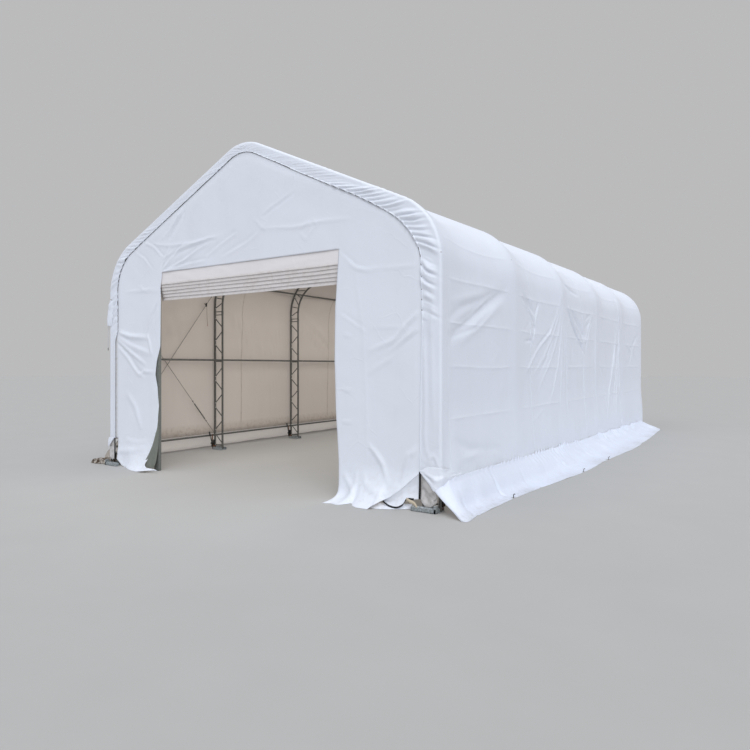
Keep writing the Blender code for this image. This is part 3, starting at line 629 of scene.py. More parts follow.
def foot_ruffle(y):
    """The small gathers where the cover turns out at its foot."""
    swing = y + 0.05 * line_noise(y, 0.4, 21)
    fine = np.abs(np.sin(swing * math.pi / 0.105)) - 0.6
    wide = np.sin(swing * math.tau / 0.62 + 1.0)
    return 0.01 * fine * (0.6 + 0.5 * line_noise(y, 0.5, 22)) + 0.004 * wide


def crease_lift(y, station, away):
    """The packing creases."""
    lift = 0.0
    for place, height in zip(CREASES, CREASE_HEIGHTS):
        off = np.abs(station - place - 0.012 * soft_noise(y, 0.0 * y + place, 0.9, 5))
        fold = height * np.exp(-off / 0.06) + CREASE_LINE * np.exp(-((off / 0.011) ** 2))
        lift = lift + fold * (0.75 + 0.25 * soft_noise(y, 0.0 * y + place * 3.0, 0.35, 6))
    return lift * smooth(0.08, 0.35, away)


def cover_lift(across, y):
    """Distance of the cover from the plain arch, outwards positive."""
    station, right = RIDGE - np.abs(across), across > 0.0
    away = np.abs((y - FRONT_Y + BAY / 2) % BAY - BAY / 2)
    away = np.where(np.abs(y) > -FRONT_Y, 0.0, away)
    rounded = (np.sqrt(away**2 + CHORD_ROUND**2) - CHORD_ROUND) / (BAY / 2)
    lift = -through(station, SAG) * (1.0 - (1.0 - np.clip(rounded * 1.07, 0.0, 1.0)) ** 2)
    lift += crease_lift(y, station, away)
    lift += folds(y, station, WALL_FOLDS) * (0.25 + 0.75 * smooth(0.0, 0.1, away))
    wave = soft_noise(across * 0.9, y, 0.75, 3) * 0.007 + soft_noise(across, y, 0.24, 8) * 0.002
    wave += soft_noise(across * 0.25, y, 0.16, 12) * 0.0022
    lift += (wave - 0.003) * smooth(0.02, 0.35, away)
    above_hem = station - hem_height(y, right)
    lift += smooth(RUFFLE_TOP, 0.0, above_hem) * foot_ruffle(y) * np.where(right, 1.0, 0.3)
    return lift + TUBE_BULGE * smooth(1.25, 0.36, station) * right * smooth(-5.46, -5.2, y)


at_shoulder = cover_lift(np.array([RIDGE - 3.6]), np.zeros(1))
print("the cover sags by", round(-float(at_shoulder[0]), 3), "m at the middle of its shoulder")

# %% [markdown]
# A sheet is a grid of points turned into quads. Solidify then gives it the thickness of the real cloth, with
# its own finish on the inner side, painted darker and warmer as painted shade, so that the shelter looks
# beige inside and white outside.


# %% Sheet makers
def grid_mesh(name, points, keep=None, **marks):
    """Mesh of a grid of points; keep can leave out quads, marks give values at the points."""
    rows, columns = points.shape[:2]
    index = np.arange(rows * columns).reshape(rows, columns)
    quads = np.stack([index[:-1, :-1], index[1:, :-1], index[1:, 1:], index[:-1, 1:]], axis=-1)
    quads = (quads if keep is None else quads[keep]).reshape(-1, 4)
    used = np.unique(quads)
    order = np.full(rows * columns, -1)
    order[used] = np.arange(len(used))
    mesh = bpy.data.meshes.new(name)
    mesh.from_pydata(points.reshape(-1, 3)[used].tolist(), [], order[quads].tolist())
    for label, values in marks.items():
        attribute = mesh.attributes.new(label, "FLOAT", "POINT")
        attribute.data.foreach_set("value", values.reshape(-1)[used].astype(np.float32))
    mesh.shade_smooth()
    return mesh


def on_frame(item, node=None):
    """Let a piece ride on the frame, in place of a node."""
    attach(item, "root")
    if node:
        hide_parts(node)
    return item


def thicken(item, thickness, offset):
    """Give a sheet its thickness, with its last finish on the inner side."""
    thick = item.modifiers.new("thickness", "SOLIDIFY")
    thick.thickness = thickness
    thick.offset = offset
    thick.material_offset = len(item.data.materials) - 1
    thick.material_offset_rim = 0


def cloth(mesh, finishes, thickness, node, outward, from_ridge=0.0):
    """A sheet piece: turned along outward and away from the ridge line, thickened inwards."""
    faces = len(mesh.polygons)
    normals, centres, areas = np.zeros(faces * 3), np.zeros(faces * 3), np.zeros(faces)
    for label, values in (("normal", normals), ("center", centres), ("area", areas)):
        mesh.polygons.foreach_get(label, values)
    from_line = centres.reshape(-1, 3) * (1.0, 0.0, 1.0) - (0.0, 0.0, 1.0)
    facing = (normals.reshape(-1, 3) * (from_line * from_ridge + outward)).sum(axis=1)
    if (facing * areas).sum() < 0.0:
        mesh.flip_normals()
    item = placed(mesh.name, mesh)
    for finish in finishes:
        mesh.materials.append(finish)
    thicken(item, thickness, -1.0)
    print(mesh.name, faces, "quads")
    return on_frame(item, node)


print("sheet makers ready")

# %% [markdown]
# The lines of a grid go through given marks, so that a crease or a truss always has its own.
# Lengths and areas are measured on the grid itself, for the flat sizes.


# %% Steps and sizes of a grid
def spread(marks, step):
    """Values from the first mark to the last, through each mark, about a step apart."""
    out = [marks[0]]
    for a, b in zip(marks, marks[1:]):
        count = max(1, round(abs(b - a) / step))
        out += [a + (b - a) * (i + 1) / count for i in range(count)]
    return out


def step_lengths(points, axis=0):
    """Distances between neighbours along one way of a grid of points."""
    return np.linalg.norm(np.diff(points, axis=axis), axis=-1)


def area_of(points):
    """Area of a grid of points."""
    a = points[1:, 1:] - points[:-1, :-1]
    b = points[1:, :-1] - points[:-1, 1:]
    return float(np.linalg.norm(np.cross(a, b), axis=-1).sum() / 2)


print("steps of about 0.3:", [round(v, 2) for v in spread([0.0, 1.0], 0.3)])

# %% [markdown]
# The real cover is welded from strips about 2.86 m wide; inside, the weld lines show between the
# trusses. So it is made of four strips that lap 40 mm, the later one on top. Each piece is small
# enough to have its folds in real geometry.

# %% Cover strips
WELDS = (FRONT_Y + 0.15, -2.6, 0.24, 3.08, -FRONT_Y - 0.15)
STRIP_STEPS = (0.026, 0.0185, 0.028, 0.036)
LAP = 0.04
LAP_LIFT = 0.0014
CLOTH = 0.002
FOOT_ROW = 0.42
SHOULDER_ROW = 3.9
ROOF_ROW = 0.36
CREASE_SIDES = (-0.03, -0.014, -0.005, 0.005, 0.014, 0.03)
crease_marks = sorted(place + off for place in CREASES for off in CREASE_SIDES)
ROWS = (
    ([RIDGE - s for s in (HEM, FOOT_ROW, *crease_marks)], 0.02),
    ([RIDGE - crease_marks[-1], RIDGE - SHOULDER_ROW], 0.05),
    ([RIDGE - SHOULDER_ROW, ROOF_ROW], 0.12),
    ([ROOF_ROW, 0.0, -ROOF_ROW], 0.045),
    ([-ROOF_ROW, SHOULDER_ROW - RIDGE], 0.16),
    ([s - RIDGE for s in (SHOULDER_ROW, *reversed(CREASES), FOOT_ROW, HEM)], 0.11),
)
ACROSS = [ROWS[0][0][0]]
for row_marks, step in ROWS:
    ACROSS += spread(row_marks, step)[1:]


def to_hem(across, y):
    """The grid's lowest metre, drawn out to reach the seam."""
    station = RIDGE - np.abs(across)
    hem = hem_height(y, across > 0.0)
    drawn = np.where(station < 1.0, hem + (station - HEM) * (1.0 - hem) / (1.0 - HEM), station)
    return np.sign(across) * (RIDGE - drawn)


for number, (start, end) in enumerate(zip(WELDS, WELDS[1:])):
    start -= LAP if number else 0.0
    marks = [start] + [y for y in TRUSS_YS if start + 0.1 < y < end - 0.1] + [end]
    across, y = np.meshgrid(ACROSS, spread(marks, STRIP_STEPS[number]), indexing="ij")
    across = to_hem(across, y)
    lift = cover_lift(across, y)
    if number:
        lift += LAP_LIFT * smooth(start + 2.2 * LAP, start + 0.8 * LAP, y)
    x, z = over_arch(across, -lift)
    points = np.stack([x, y, z], axis=-1)
    above_hem = RIDGE - np.abs(across) - hem_height(y, across > 0.0)
    # Painted shade: the inner face is darker along the lap at the strip's end and in a band just above the
    # hem.
    seam = smooth(end - 0.03, end - 0.012, y) + 0.8 * smooth(0.13, 0.08, above_hem)
    mesh = grid_mesh(f"cover_strip_{number + 1}", points, seam=np.clip(seam, 0.0, 1.0))
    item = cloth(mesh, (outer_cloth, shaded_inner_cloth), CLOTH, "main_cover", (0.0, 0.0, 0.0), 1.0)
    flat = (round(end - start + 0.01, 2), round(2 * (RIDGE - HEM), 2))
    print(item.name, "flat", flat, "area", round(area_of(points), 2))

# %% [markdown]
# At both ends the sheet turns round the last truss and is gathered on a rope in its hem. The
# cloth of the wider outer edge has to fit the shorter inner one, so it stands in pleats that lean
# up the arch. A pleat is the absolute value of a sine: round on top and sharp in its valley.
# The hem's depth and the pleats' height are read from lines along the arch, one for each side.

# %% Lines of the end bands
ROLL = 0.032
FRONT_FACE = 0.0262
BAND_BACK = 0.19
BAND_CLEAR = 0.0062
HEM_ROUND = 0.005
PLEAT_PITCH = 0.105
SECOND_PITCH = PLEAT_PITCH * 0.57
NICK_DEPTH = 0.007
BAND_FEET = {-1: 0.4, 1: 0.17}
RIGHT_INSET = [
    (0.4, 0.265), (0.78, 0.26), (1.22, 0.254), (1.67, 0.245), (2.08, 0.23), (2.58, 0.24), (3.0, 0.254),
    (3.22, 0.266), (3.45, 0.262), (3.67, 0.242), (3.9, 0.209), (4.12, 0.188), (4.35, 0.174), (4.82, 0.167),
    (5.33, 0.16), (5.8, 0.142), (6.24, 0.134), (6.6, 0.13),
]
LEFT_INSET = [
    (0.4, 0.166), (2.02, 0.168), (2.16, 0.226), (2.55, 0.226), (2.98, 0.214), (3.35, 0.186), (3.67, 0.164),
    (4.03, 0.153), (4.6, 0.146), (5.23, 0.143), (5.88, 0.139), (6.19, 0.136), (6.6, 0.13),
]
REAR_INSET = ((0.0, 0.222),)
RIGHT_PLEATS = (
    (0.4, 0.002), (1.9, 0.004), (2.3, 0.016), (2.9, 0.024), (3.8, 0.026), (4.7, 0.016),
    (5.4, 0.006), (5.9, 0.004), (RIDGE, 0.007),
)
LEFT_PLEATS = (
    (0.4, 0.0), (2.1, 0.001), (2.2, 0.01), (3.0, 0.014), (3.8, 0.013), (4.4, 0.006),
    (5.6, 0.005), (6.2, 0.009), (RIDGE, 0.01),
)
REAR_PLEATS = (
    (0.4, 0.002), (1.9, 0.003), (2.3, 0.012), (3.0, 0.016), (3.9, 0.014), (4.8, 0.006),
    (RIDGE, 0.005),
)
PLEAT_LEAN = ((2.0, 0.3), (2.6, 0.6), (3.4, 1.05), (4.2, 2.1), (5.0, 2.9))
BAND_FOLDS = {
    "soft": [
        (0.016, 0.016, 2.965, 0.64, 2.915, 0.575, 2.87, 0.5, 2.85, 0.45),
        (0.014, 0.013, 2.965, 0.62, 2.995, 0.56, 3.015, 0.48),
        (0.012, 0.01, 2.81, 0.462, 2.88, 0.48, 2.96, 0.47, 2.985, 0.44),
        (0.012, 0.009, 2.9, 0.515, 2.95, 0.52, 2.975, 0.5), (0.02, 0.008, 2.845, 0.9, 2.86, 0.7, 2.9, 0.56),
        (0.02, 0.012, 2.82, 2.05, 2.845, 1.6, 2.85, 1.1, 2.84, 0.7),
        (0.03, 0.009, 2.96, 2.6, 2.93, 2.1, 2.94, 1.5, 2.955, 0.9),
        (0.01, 0.008, 2.815, 1.98, 2.85, 1.96, 2.88, 1.99), (0.01, 0.007, 2.812, 1.68, 2.84, 1.66),
        (0.01, 0.007, 2.812, 1.42, 2.845, 1.44), (0.01, 0.006, 2.806, 1.1, 2.836, 1.08),
    ],
}
BAND_STEPS = ((0.72, 0.02), (2.1, 0.045), (5.1, 0.0095), (RIDGE, 0.016))


def by_side(across, right, left):
    """Heights by station from two lists of pairs, one for each side."""
    station = RIDGE - np.abs(across)
    return np.where(across > 0.0, through(station, right), through(station, left))


def hem_inset(across, front):
    """How far inside the arch's face the hem of a band runs."""
    return by_side(across, *((RIGHT_INSET, LEFT_INSET) if front else (REAR_INSET, REAR_INSET)))


print("front hem at the ridge", float(hem_inset(np.zeros(1), True)[0]), "m inside the arch")

# %% [markdown]
# A band is a grid: its rows run from the roof round the chord and down to the hem, its columns
# along the arch. The columns are closest where the pleats are highest.


# %% Rows and columns of a band
def band_path():
    """Rows of a band: share of the way to the hem, offset outwards and offset forwards."""
    path = [(0.0, 0.0, back) for back in np.linspace(-BAND_BACK, -BAND_CLEAR, 6)]
    for turn in np.linspace(0.0, math.pi / 2, 7)[1:]:
        path.append((0.0, -ROLL + ROLL * math.cos(turn), FRONT_FACE - ROLL + ROLL * math.sin(turn)))
    path += [(share, -ROLL, FRONT_FACE) for share in np.linspace(0.0, 1.0, 14)[1:]]
    for turn in np.linspace(0.0, math.pi, 6)[1:]:
        out = -ROLL - HEM_ROUND * (1 - math.cos(turn))
        path.append((1.0, out, FRONT_FACE + 1.2 * HEM_ROUND * math.sin(turn)))
    return np.array(path)


def band_columns(coarse, foot):
    """Places along a band, from the right foot over the ridge to the left one."""
    half = [foot]
    for mark, step in BAND_STEPS:
        half += spread([half[-1], mark], step * coarse)[1:]
    half = RIDGE - np.array(half)
    return np.concatenate([half, -half[-2::-1]])


print("rows", len(band_path()), "columns", len(band_columns(1.0, BAND_FEET[-1])))

# %% [markdown]
# The pleats push the cloth forwards on the face of the truss and outwards at the hem, and where
# the cloth turns over the chord they fade into the cover's own shape. Two sines of different
# pitch, both swung about by noise, keep the gathers from looking regular.


# %% End bands
def end_band(name, facing, coarse):
    """A gathered band round the first or last truss; facing is -1 in front and 1 behind."""
    front = facing < 0
    path, foot = band_path(), BAND_FEET[facing]
    across, row = np.meshgrid(band_columns(coarse, foot), np.arange(len(path)), indexing="ij")
    station = RIDGE - np.abs(across)
    inset = hem_inset(across, front)
    share, out, ahead = (path[row, k] for k in range(3))
    out = out - share * (inset - ROLL)
    slant = np.abs(across) - out * through(station, PLEAT_LEAN)
    swing = slant + 0.04 * soft_noise(slant, 0.0 * slant + across * 0.2, 0.5, 31 + front)
    swing += 0.026 * soft_noise(slant, out * 1.3, 0.16, 37 + front)
    pleat = np.abs(np.sin(swing * math.pi / PLEAT_PITCH))
    second = np.abs(np.sin(swing * math.pi / SECOND_PITCH + 1.3))
    pleats = (RIGHT_PLEATS, LEFT_PLEATS) if front else (REAR_PLEATS, REAR_PLEATS)
    size = by_side(across, *pleats)
    size = size * np.clip(0.8 + 1.0 * soft_noise(slant, out * 1.2, 0.15, 33), 0.08, 1.8)
    gather = (pleat * 0.8 + second * 0.35 * (1.0 - 0.6 * share)) * size
    turn = np.clip((ahead - (FRONT_FACE - ROLL)) / ROLL, 0.0, 1.0)
    face = np.where(out <= -ROLL + 1e-6, 1.0, np.sin(np.arcsin(turn)) * turn)
    tuck = gather * smooth(-0.05, 0.45, share + 0.1) * face
    wall_y = np.where(ahead <= 0.0001 - BAND_CLEAR, facing * (-FRONT_Y + ahead), facing * -FRONT_Y)
    lift = cover_lift(across, wall_y) * smooth(0.0, -0.05, ahead) + 0.0009
    lift -= 0.006 * smooth(-0.15, -BAND_BACK, ahead)
    back = smooth(-0.13, -0.01, ahead) * (1.0 - smooth(0.0, 0.1, ROLL - 0.03 - out))
    rise = out + (lift + (pleat - 0.05) * size * 0.16 * back) * (1.0 - face)
    if front:
        x, z = over_arch(across, -out)
        left, right = (smooth(2.2, 2.05, station), smooth(2.25, 1.95, station))
        tuck += left * (across < 0.0) * 0.012 * smooth(0.5, 1.0, share)
        tuck += np.maximum(folds(x, z, BAND_FOLDS), -0.004) * face * smooth(1.0, 0.93, share)
        nicks = np.maximum(line_noise(station, 0.07, 36), 0.0) * NICK_DEPTH
        rise += nicks * right * (across > 0.0) * smooth(0.75, 1.0, share)
    rise += (pleat - 0.5) * size * 0.45 * smooth(0.75, 1.0, share)
    x, z = over_arch(across, -rise)
    points = np.stack([x, facing * (-FRONT_Y + ahead + tuck), z], axis=-1)
    finishes = (outer_cloth, shaded_inner_cloth)
    item = cloth(grid_mesh(name, points), finishes, CLOTH * 0.6, "main_cover", (0.0, facing, 0.0), 0.2)
    width = BAND_BACK + float(inset.mean()) + 0.03
    flat = (round(width, 2), round(2 * (RIDGE - foot), 2))
    print(name, "flat", flat, "area", round(area_of(points), 2))


end_band("front_band", -1, 1.1)
end_band("rear_band", 1, 3.0)

# %% [markdown]
# The draw rope lies in the hem of the front band and leaves it at the left, under the shoulder.

# %% Draw rope of the front band
ROPE_IN_HEM = 0.009
ROPE_ENDS = (2.16, 6.5)
BELOW_HEM = 0.006
BEFORE_BAND = 0.0035
half = RIDGE - np.linspace(*ROPE_ENDS, 150)
across = np.concatenate([half, -half[::-1]])
rope_x, rope_z = over_arch(across, hem_inset(across, True) + BELOW_HEM)
rope_y = FRONT_Y - FRONT_FACE - BEFORE_BAND
rope_route = [(x, rope_y, z) for x, z in zip(rope_x.tolist(), rope_z.tolist())]
print("draw rope", round(run_length(rope_route), 2), "m")

# %% [markdown]
# The end panels hang on the front of the first and the last truss, under the band. Each is a grid
# in its own plane. Beside the doorway its columns follow the edge of the cloth, which has curled
# away from the left post; the rim outside the arch is pulled back onto it. At the foot the cloth
# turns out and lies on the ground, and the right front corner is lifted.

# %% Lines of the end panels
PANEL_FACE = 0.0233
PANEL_RIM = 0.022
PANEL_CLOTH = 0.0016
DOOR_TOP = 3.025
DOOR_HALF = 1.7
FOOT_TOP = 0.44
PANEL_TOP = 4.15
PANEL_OUTER = 2.8
EDGE_REACH = 2.75
ON_GROUND = 0.003
LEFT_EDGE = [
    (0.05, -1.99), (0.11, -2.02), (0.41, -1.9), (0.69, -1.81), (1.0, -1.78), (1.27, -1.81), (1.47, -1.86),
    (1.67, -1.83), (1.9, -1.75), (2.25, -1.74), (2.63, -1.73), (2.79, -1.74), (3.01, -1.7), (3.4, -1.7),
]
RIGHT_EDGE = [
    (0.0, 1.66), (0.47, 1.65), (1.06, 1.61), (1.68, 1.59), (2.31, 1.6), (2.74, 1.63), (3.02, 1.65),
    (3.3, 1.7),
]
FOOT_RUN = [
    (-2.8, 0.03), (-2.57, 0.06), (-2.25, 0.19), (-2.1, 0.22), (-1.87, 0.24), (-1.72, 0.15), (1.6, 0.3),
    (1.67, 0.35), (1.76, 0.31), (1.87, 0.34), (1.92, 0.27), (1.96, 0.16), (2.04, 0.27), (2.13, 0.32),
    (2.31, 0.31), (2.36, 0.17), (2.47, 0.127), (2.58, 0.097), (2.66, 0.057), (2.8, 0.02),
]
FOOT_LIFT = [
    (-2.8, 0.1), (-2.66, 0.02), (-2.57, 0.0), (-2.05, 0.0), (-1.8, 0.035), (-1.6, 0.045), (1.6, 0.0),
    (2.28, 0.0), (2.36, 0.072), (2.47, 0.128), (2.58, 0.212), (2.66, 0.291), (2.76, 0.385), (2.8, 0.415),
]
print("foot of the front panel: points", len(FOOT_RUN), "for its run and", len(FOOT_LIFT), "for its lift")

# %% [markdown]
# For the rim, every point of a panel has to know how deep inside the arch it lies. The arch is
# made of a wall, a bend, a slope and the ridge, and np.select takes the answer from the right one.


# %% Places in the plane of an end
def place_by_arch(x, z):
    """Of points in an end's plane: depth inside the arch, way out of it, nearest place over it."""
    beside = np.abs(x)
    to_x, to_z = beside - CENTRE_X, z - WALL_TOP
    turn, crown = np.arctan2(to_z, to_x), np.arctan2(z - RIDGE_Z, beside)
    run = (NORMAL_X * SHOULDER_RADIUS - to_x) * NORMAL_Z + (to_z - NORMAL_Z * SHOULDER_RADIUS) * NORMAL_X
    on_ridge = (z > RIDGE_Z) & (crown > SHOULDER_TURN)
    parts = [on_ridge, to_z <= 0.0, turn < SHOULDER_TURN]
    depths = [
        RIDGE_RADIUS - np.hypot(beside, z - RIDGE_Z),
        HALF_WIDTH - beside,
        SHOULDER_RADIUS - np.hypot(to_x, to_z),
    ]
    depth = np.select(parts, depths, ROOF_OFFSET - beside * NORMAL_X - z * NORMAL_Z)
    angle = np.select(parts, [crown, 0.0 * turn, turn], SHOULDER_TURN)
    stations = [ROOF_END + (crown - SHOULDER_TURN) * RIDGE_RADIUS, z, WALL_TOP + turn * SHOULDER_RADIUS]
    station = np.clip(np.select(parts, stations, SHOULDER_END + run), 0.0, RIDGE)
    over = (RIDGE - station) * np.where(x < 0.0, -1.0, 1.0)
    return depth, np.sign(x) * np.cos(angle), np.sin(angle), over


def around_door(x, z):
    """Columns of the front panel, moved to follow the edges of the cloth beside the doorway."""
    for edge, corner in ((LEFT_EDGE, -DOOR_HALF), (RIGHT_EDGE, DOOR_HALF)):
        outside = np.clip((EDGE_REACH - np.abs(x)) / (EDGE_REACH - DOOR_HALF), 0.0, 1.0)
        weight = np.where(np.abs(x) > DOOR_HALF, outside, np.abs(x) / DOOR_HALF)
        x = x + (through(z, edge) - corner) * weight * (np.sign(x) == np.sign(corner))
    return x


door_depth = place_by_arch(np.zeros(1), np.full(1, DOOR_TOP))[0][0]
print("the doorway's top lies", round(float(door_depth), 2), "m inside the arch")

# %% [markdown]
# The folds of the front panel are listed as lines in its plane. Some run down from the places at
# its edges where the band pulls, and packing creases cross over the doorway.

# %% Folds of the end panels
FRONT_FOLDS = {
    "soft": [
        (0.018, 0.007, -1.16, 4.08, -1.33, 3.82, -1.52, 3.64, -1.75, 3.5),
        (0.013, 0.007, 0.22, 3.58, 0.44, 3.39), (0.013, 0.007, 0.45, 3.51, 0.25, 3.34),
        (0.014, 0.004, -2.34, 2.88, -2.01, 2.73), (0.014, 0.004, -2.25, 2.76, -1.92, 2.8),
        (0.014, 0.007, 1.22, 3.47, 1.31, 3.37, 1.13, 3.19), (0.014, 0.007, 1.2, 3.43, 1.02, 3.34),
        (0.014, 0.006, 1.15, 3.17, 1.03, 3.31), (0.014, 0.007, 1.72, 1.98, 1.86, 1.96),
        (0.014, 0.007, 1.68, 1.34, 1.88, 1.3), (0.014, 0.007, 1.7, 0.92, 1.86, 0.94),
        (0.014, 0.005, -2.3, 2.8, -2.21, 2.85, -2.15, 2.77),
        (0.016, 0.004, 1.74, 2.85, 2.03, 2.73, 2.25, 2.74),
        (0.034, 0.026, -2.92, 2.18, -2.47, 2.07, -2.02, 2.04),
        (0.026, 0.026, -2.9, 2.12, -2.47, 1.94, -1.97, 1.8),
        (0.024, 0.02, -2.88, 2.05, -2.47, 1.82, -2.09, 1.62),
        (0.02, 0.016, -2.06, 2.1, -2.0, 1.95, -1.95, 1.76),
        (0.022, 0.0135, -2.31, 1.45, -2.13, 1.52, -1.88, 1.51),
        (0.048, 0.012, -2.6, 1.2, -2.35, 0.95, -2.2, 0.6),
        (0.04, 0.021, -2.85, 0.22, -2.58, 0.25, -2.09, 0.33),
        (0.032, 0.015, -2.62, 0.43, -2.3, 0.4, -2.02, 0.44),
        (0.03, 0.013, 2.8, 2.2, 2.48, 1.91, 2.07, 1.77), (0.026, 0.01, 2.78, 2.07, 2.38, 1.68, 2.06, 1.5),
        (0.028, 0.021, 2.09, 0.68, 2.19, 0.59, 2.29, 0.47, 2.39, 0.23),
        (0.028, 0.021, 2.78, 0.71, 2.64, 0.59, 2.58, 0.39, 2.54, 0.29),
        (0.024, 0.018, 2.02, 0.34, 2.09, 0.22, 2.32, 0.13, 2.47, 0.17),
        (0.024, 0.021, 1.72, 0.3, 1.86, 0.16, 1.95, 0.1),
    ],
    "crease": [
        (0.019, 0.0105, -2.18, 3.51, -1.53, 3.41, -0.93, 3.39, -0.34, 3.44),
        (0.019, 0.0105, 0.34, 3.44, 0.94, 3.38, 1.35, 3.4, 1.82, 3.38),
        (0.016, 0.009, -2.64, 2.78, -2.23, 2.78, -1.74, 2.76),
        (0.016, 0.006, 1.89, 2.78, 2.02, 1.98, 2.06, 1.08, 2.06, 0.35),
        (0.016, 0.0075, 1.89, 2.76, 2.3, 2.74, 2.78, 2.73),
        (0.016, 0.005, 2.07, 2.06, 2.4, 2.05, 2.68, 2.03),
    ],
    "step": [
        (0.028, 0.012, -1.12, 4.1, -1.25, 3.85, -1.41, 3.69, -1.57, 3.52),
        (0.022, 0.008, -1.34, 4.02, -1.6, 3.83, -1.94, 3.71, -2.2, 3.55),
        (0.016, 0.006, -2.15, 3.56, -1.86, 3.42, -1.66, 3.24),
        (0.016, 0.004, -2.38, 3.42, -2.12, 3.28, -1.92, 3.08),
        (0.017, 0.012, -1.72, 3.03, -1.22, 3.17, -0.88, 3.31, -0.6, 3.4),
        (0.018, 0.012, -1.72, 3.05, -1.52, 3.22, -1.2, 3.4),
        (0.018, 0.01, -1.72, 3.08, -1.64, 3.24, -1.54, 3.4),
        (0.016, 0.007, -1.66, 3.04, -1.2, 3.1, -0.72, 3.13),
        (0.016, 0.008, -0.72, 3.18, -0.31, 3.37, -0.1, 3.45),
        (0.018, 0.005, -0.42, 3.13, 0.05, 3.28, 0.36, 3.42), (0.016, 0.005, 0.64, 3.73, 0.38, 3.6),
        (0.016, 0.005, 0.95, 3.85, 0.54, 3.67), (0.018, 0.01, -1.78, 2.62, -1.94, 2.38, -2.05, 2.1),
        (0.016, 0.009, -1.76, 2.44, -1.86, 2.22, -1.92, 2.02),
        (0.016, 0.004, 1.66, 3.0, 1.92, 2.79, 2.18, 2.72), (0.016, 0.004, 1.66, 2.26, 2.07, 2.02),
        (0.02, 0.012, 2.79, 2.2, 2.62, 2.06, 2.45, 1.88), (0.02, 0.01, 2.8, 2.02, 2.6, 1.9, 2.34, 1.7),
        (0.022, 0.009, -0.52, 3.42, -1.29, 3.32, -1.7, 3.2),
        (0.026, 0.01, -2.9, 2.1, -2.47, 1.92, -1.99, 1.79),
        (0.024, 0.012, -2.86, 1.98, -2.55, 1.76, -2.3, 1.52, -2.1, 1.44),
    ],
}
REAR_FOLDS = {
    "soft": [
        (0.048, 0.024, -2.8, 2.3, -2.3, 1.9, -1.6, 1.75), (0.048, 0.027, 2.8, 2.4, 2.2, 1.8, 1.5, 1.5),
        (0.056, 0.021, -1.8, 3.5, -0.9, 3.0, 0.2, 2.8), (0.048, 0.018, 1.9, 0.5, 1.3, 1.0, 0.4, 1.3),
    ],
    "crease": [
        (0.024, 0.009, -2.2, 3.45, -0.9, 3.4, 0.8, 3.42, 2.2, 3.44),
        (0.024, 0.009, -2.7, 2.1, -1.0, 2.05, 0.9, 2.08, 2.7, 2.06),
        (0.024, 0.009, -2.7, 1.02, -0.8, 1.05, 1.2, 1.0, 2.7, 1.03),
        (0.024, 0.009, -1.02, 3.9, -1.0, 2.0, -1.04, 0.6), (0.024, 0.009, 1.04, 3.9, 1.0, 2.0, 1.02, 0.6),
    ],
}
print("panel folds:", sum(len(rows) for table in (FRONT_FOLDS, REAR_FOLDS) for rows in table.values()))

# %% [markdown]
# The rows of a panel run down from the ridge and at last out along the ground. Quads outside
# the arch are left out, and in front those of the doorway too.


# %% End panels
def end_panel(name, facing, fold_list, step, node):
    """A panel in the plane of the first or last truss; facing is -1 in front and 1 behind."""
    front = facing < 0
    columns = spread([-HALF_WIDTH, -DOOR_HALF, -0.6], step) + spread([-0.6, DOOR_HALF], step * 1.5)[1:]
    columns = np.array(columns + spread([DOOR_HALF, HALF_WIDTH], step)[1:])
    walls = spread([APEX, PANEL_TOP], step * 2) + spread([PANEL_TOP, DOOR_TOP], step)[1:]
    walls += spread([DOOR_TOP, FOOT_TOP], step * 1.3)[1:]
    foot = np.linspace(0.0, 1.0, 17)[1:]
    level = np.concatenate([walls, np.full(len(foot), FOOT_TOP)])
    turned = np.concatenate([np.zeros(len(walls)), foot])
    z, x = np.meshgrid(level, columns, indexing="ij")
    share = np.broadcast_to(turned[:, None], z.shape)
    if front:
        x = around_door(x, z * (1.0 - share))
        x = x + 0.36 * smooth(0.55, 1.0, share) * smooth(-2.35, -2.02, x) * (x < 0.0)
        run, lift = through(x, FOOT_RUN), np.maximum(through(x, FOOT_LIFT), ON_GROUND)
    else:
        run = 0.2 + 0.06 * line_noise(x, 0.62, 47) + 0.035 * line_noise(x, 0.23, 48)
        lift = ON_GROUND
    z = np.where(share > 0.0, lift + (FOOT_TOP - lift) * (1.0 - share) ** 1.7, z)
    ahead = run * share ** (1.6 + 4.4 * smooth(1.45, 1.6, x) * smooth(1.95, 1.72, x))
    depth, out_x, out_z, over = place_by_arch(x, z)
    edge = np.maximum(hem_inset(over, front), 0.16)
    free = smooth(edge - 0.002, edge + 0.1, depth) * (1.0 - smooth(0.85, 1.0, share))
    height = folds(x, z, fold_list) + 0.0045 * (1.0 + soft_noise(x, z, 0.55, 41 + front))
    height += 0.0016 * (1.0 + soft_noise(x, z, 0.17, 43))
    height += 0.01 * smooth(0.5, 0.1, z) * (1.0 + soft_noise(x, z * 0.4, 0.13, 45))
    pull = np.maximum(PANEL_RIM - depth, 0.0)
    x, z = x - out_x * pull, z - out_z * pull
    y = facing * (-FRONT_Y + PANEL_FACE + np.maximum(height, 0.0) * free + ahead)
    within = depth > 0.0
    keep = within[:-1, :-1] | within[1:, :-1] | within[1:, 1:] | within[:-1, 1:]
    middle = np.abs(columns[:-1] + columns[1:])[None, :] / 2
    keep &= ~((turned[1:, None] > 0.0) & (middle > PANEL_OUTER))
    if front:
        keep &= ~((level[1:, None] < DOOR_TOP - 0.001) & (middle < DOOR_HALF))
    # Painted shadow: the strip along the left edge of the front panel, in the gap behind the band, is
    # darkened.
    grime = smooth(-2.8, -2.86, x) * smooth(2.2, 2.0, z) * smooth(0.1, 0.3, z) * front
    mesh = grid_mesh(name, np.stack([x, y, z], axis=-1), keep, grime=grime * 0.8)
    item = cloth(mesh, (panel_cloth, shaded_inner_cloth), PANEL_CLOTH, node, (0.0, facing, 0.0))
    flat = (round(2 * HALF_WIDTH, 2), round(APEX + 0.25, 2))


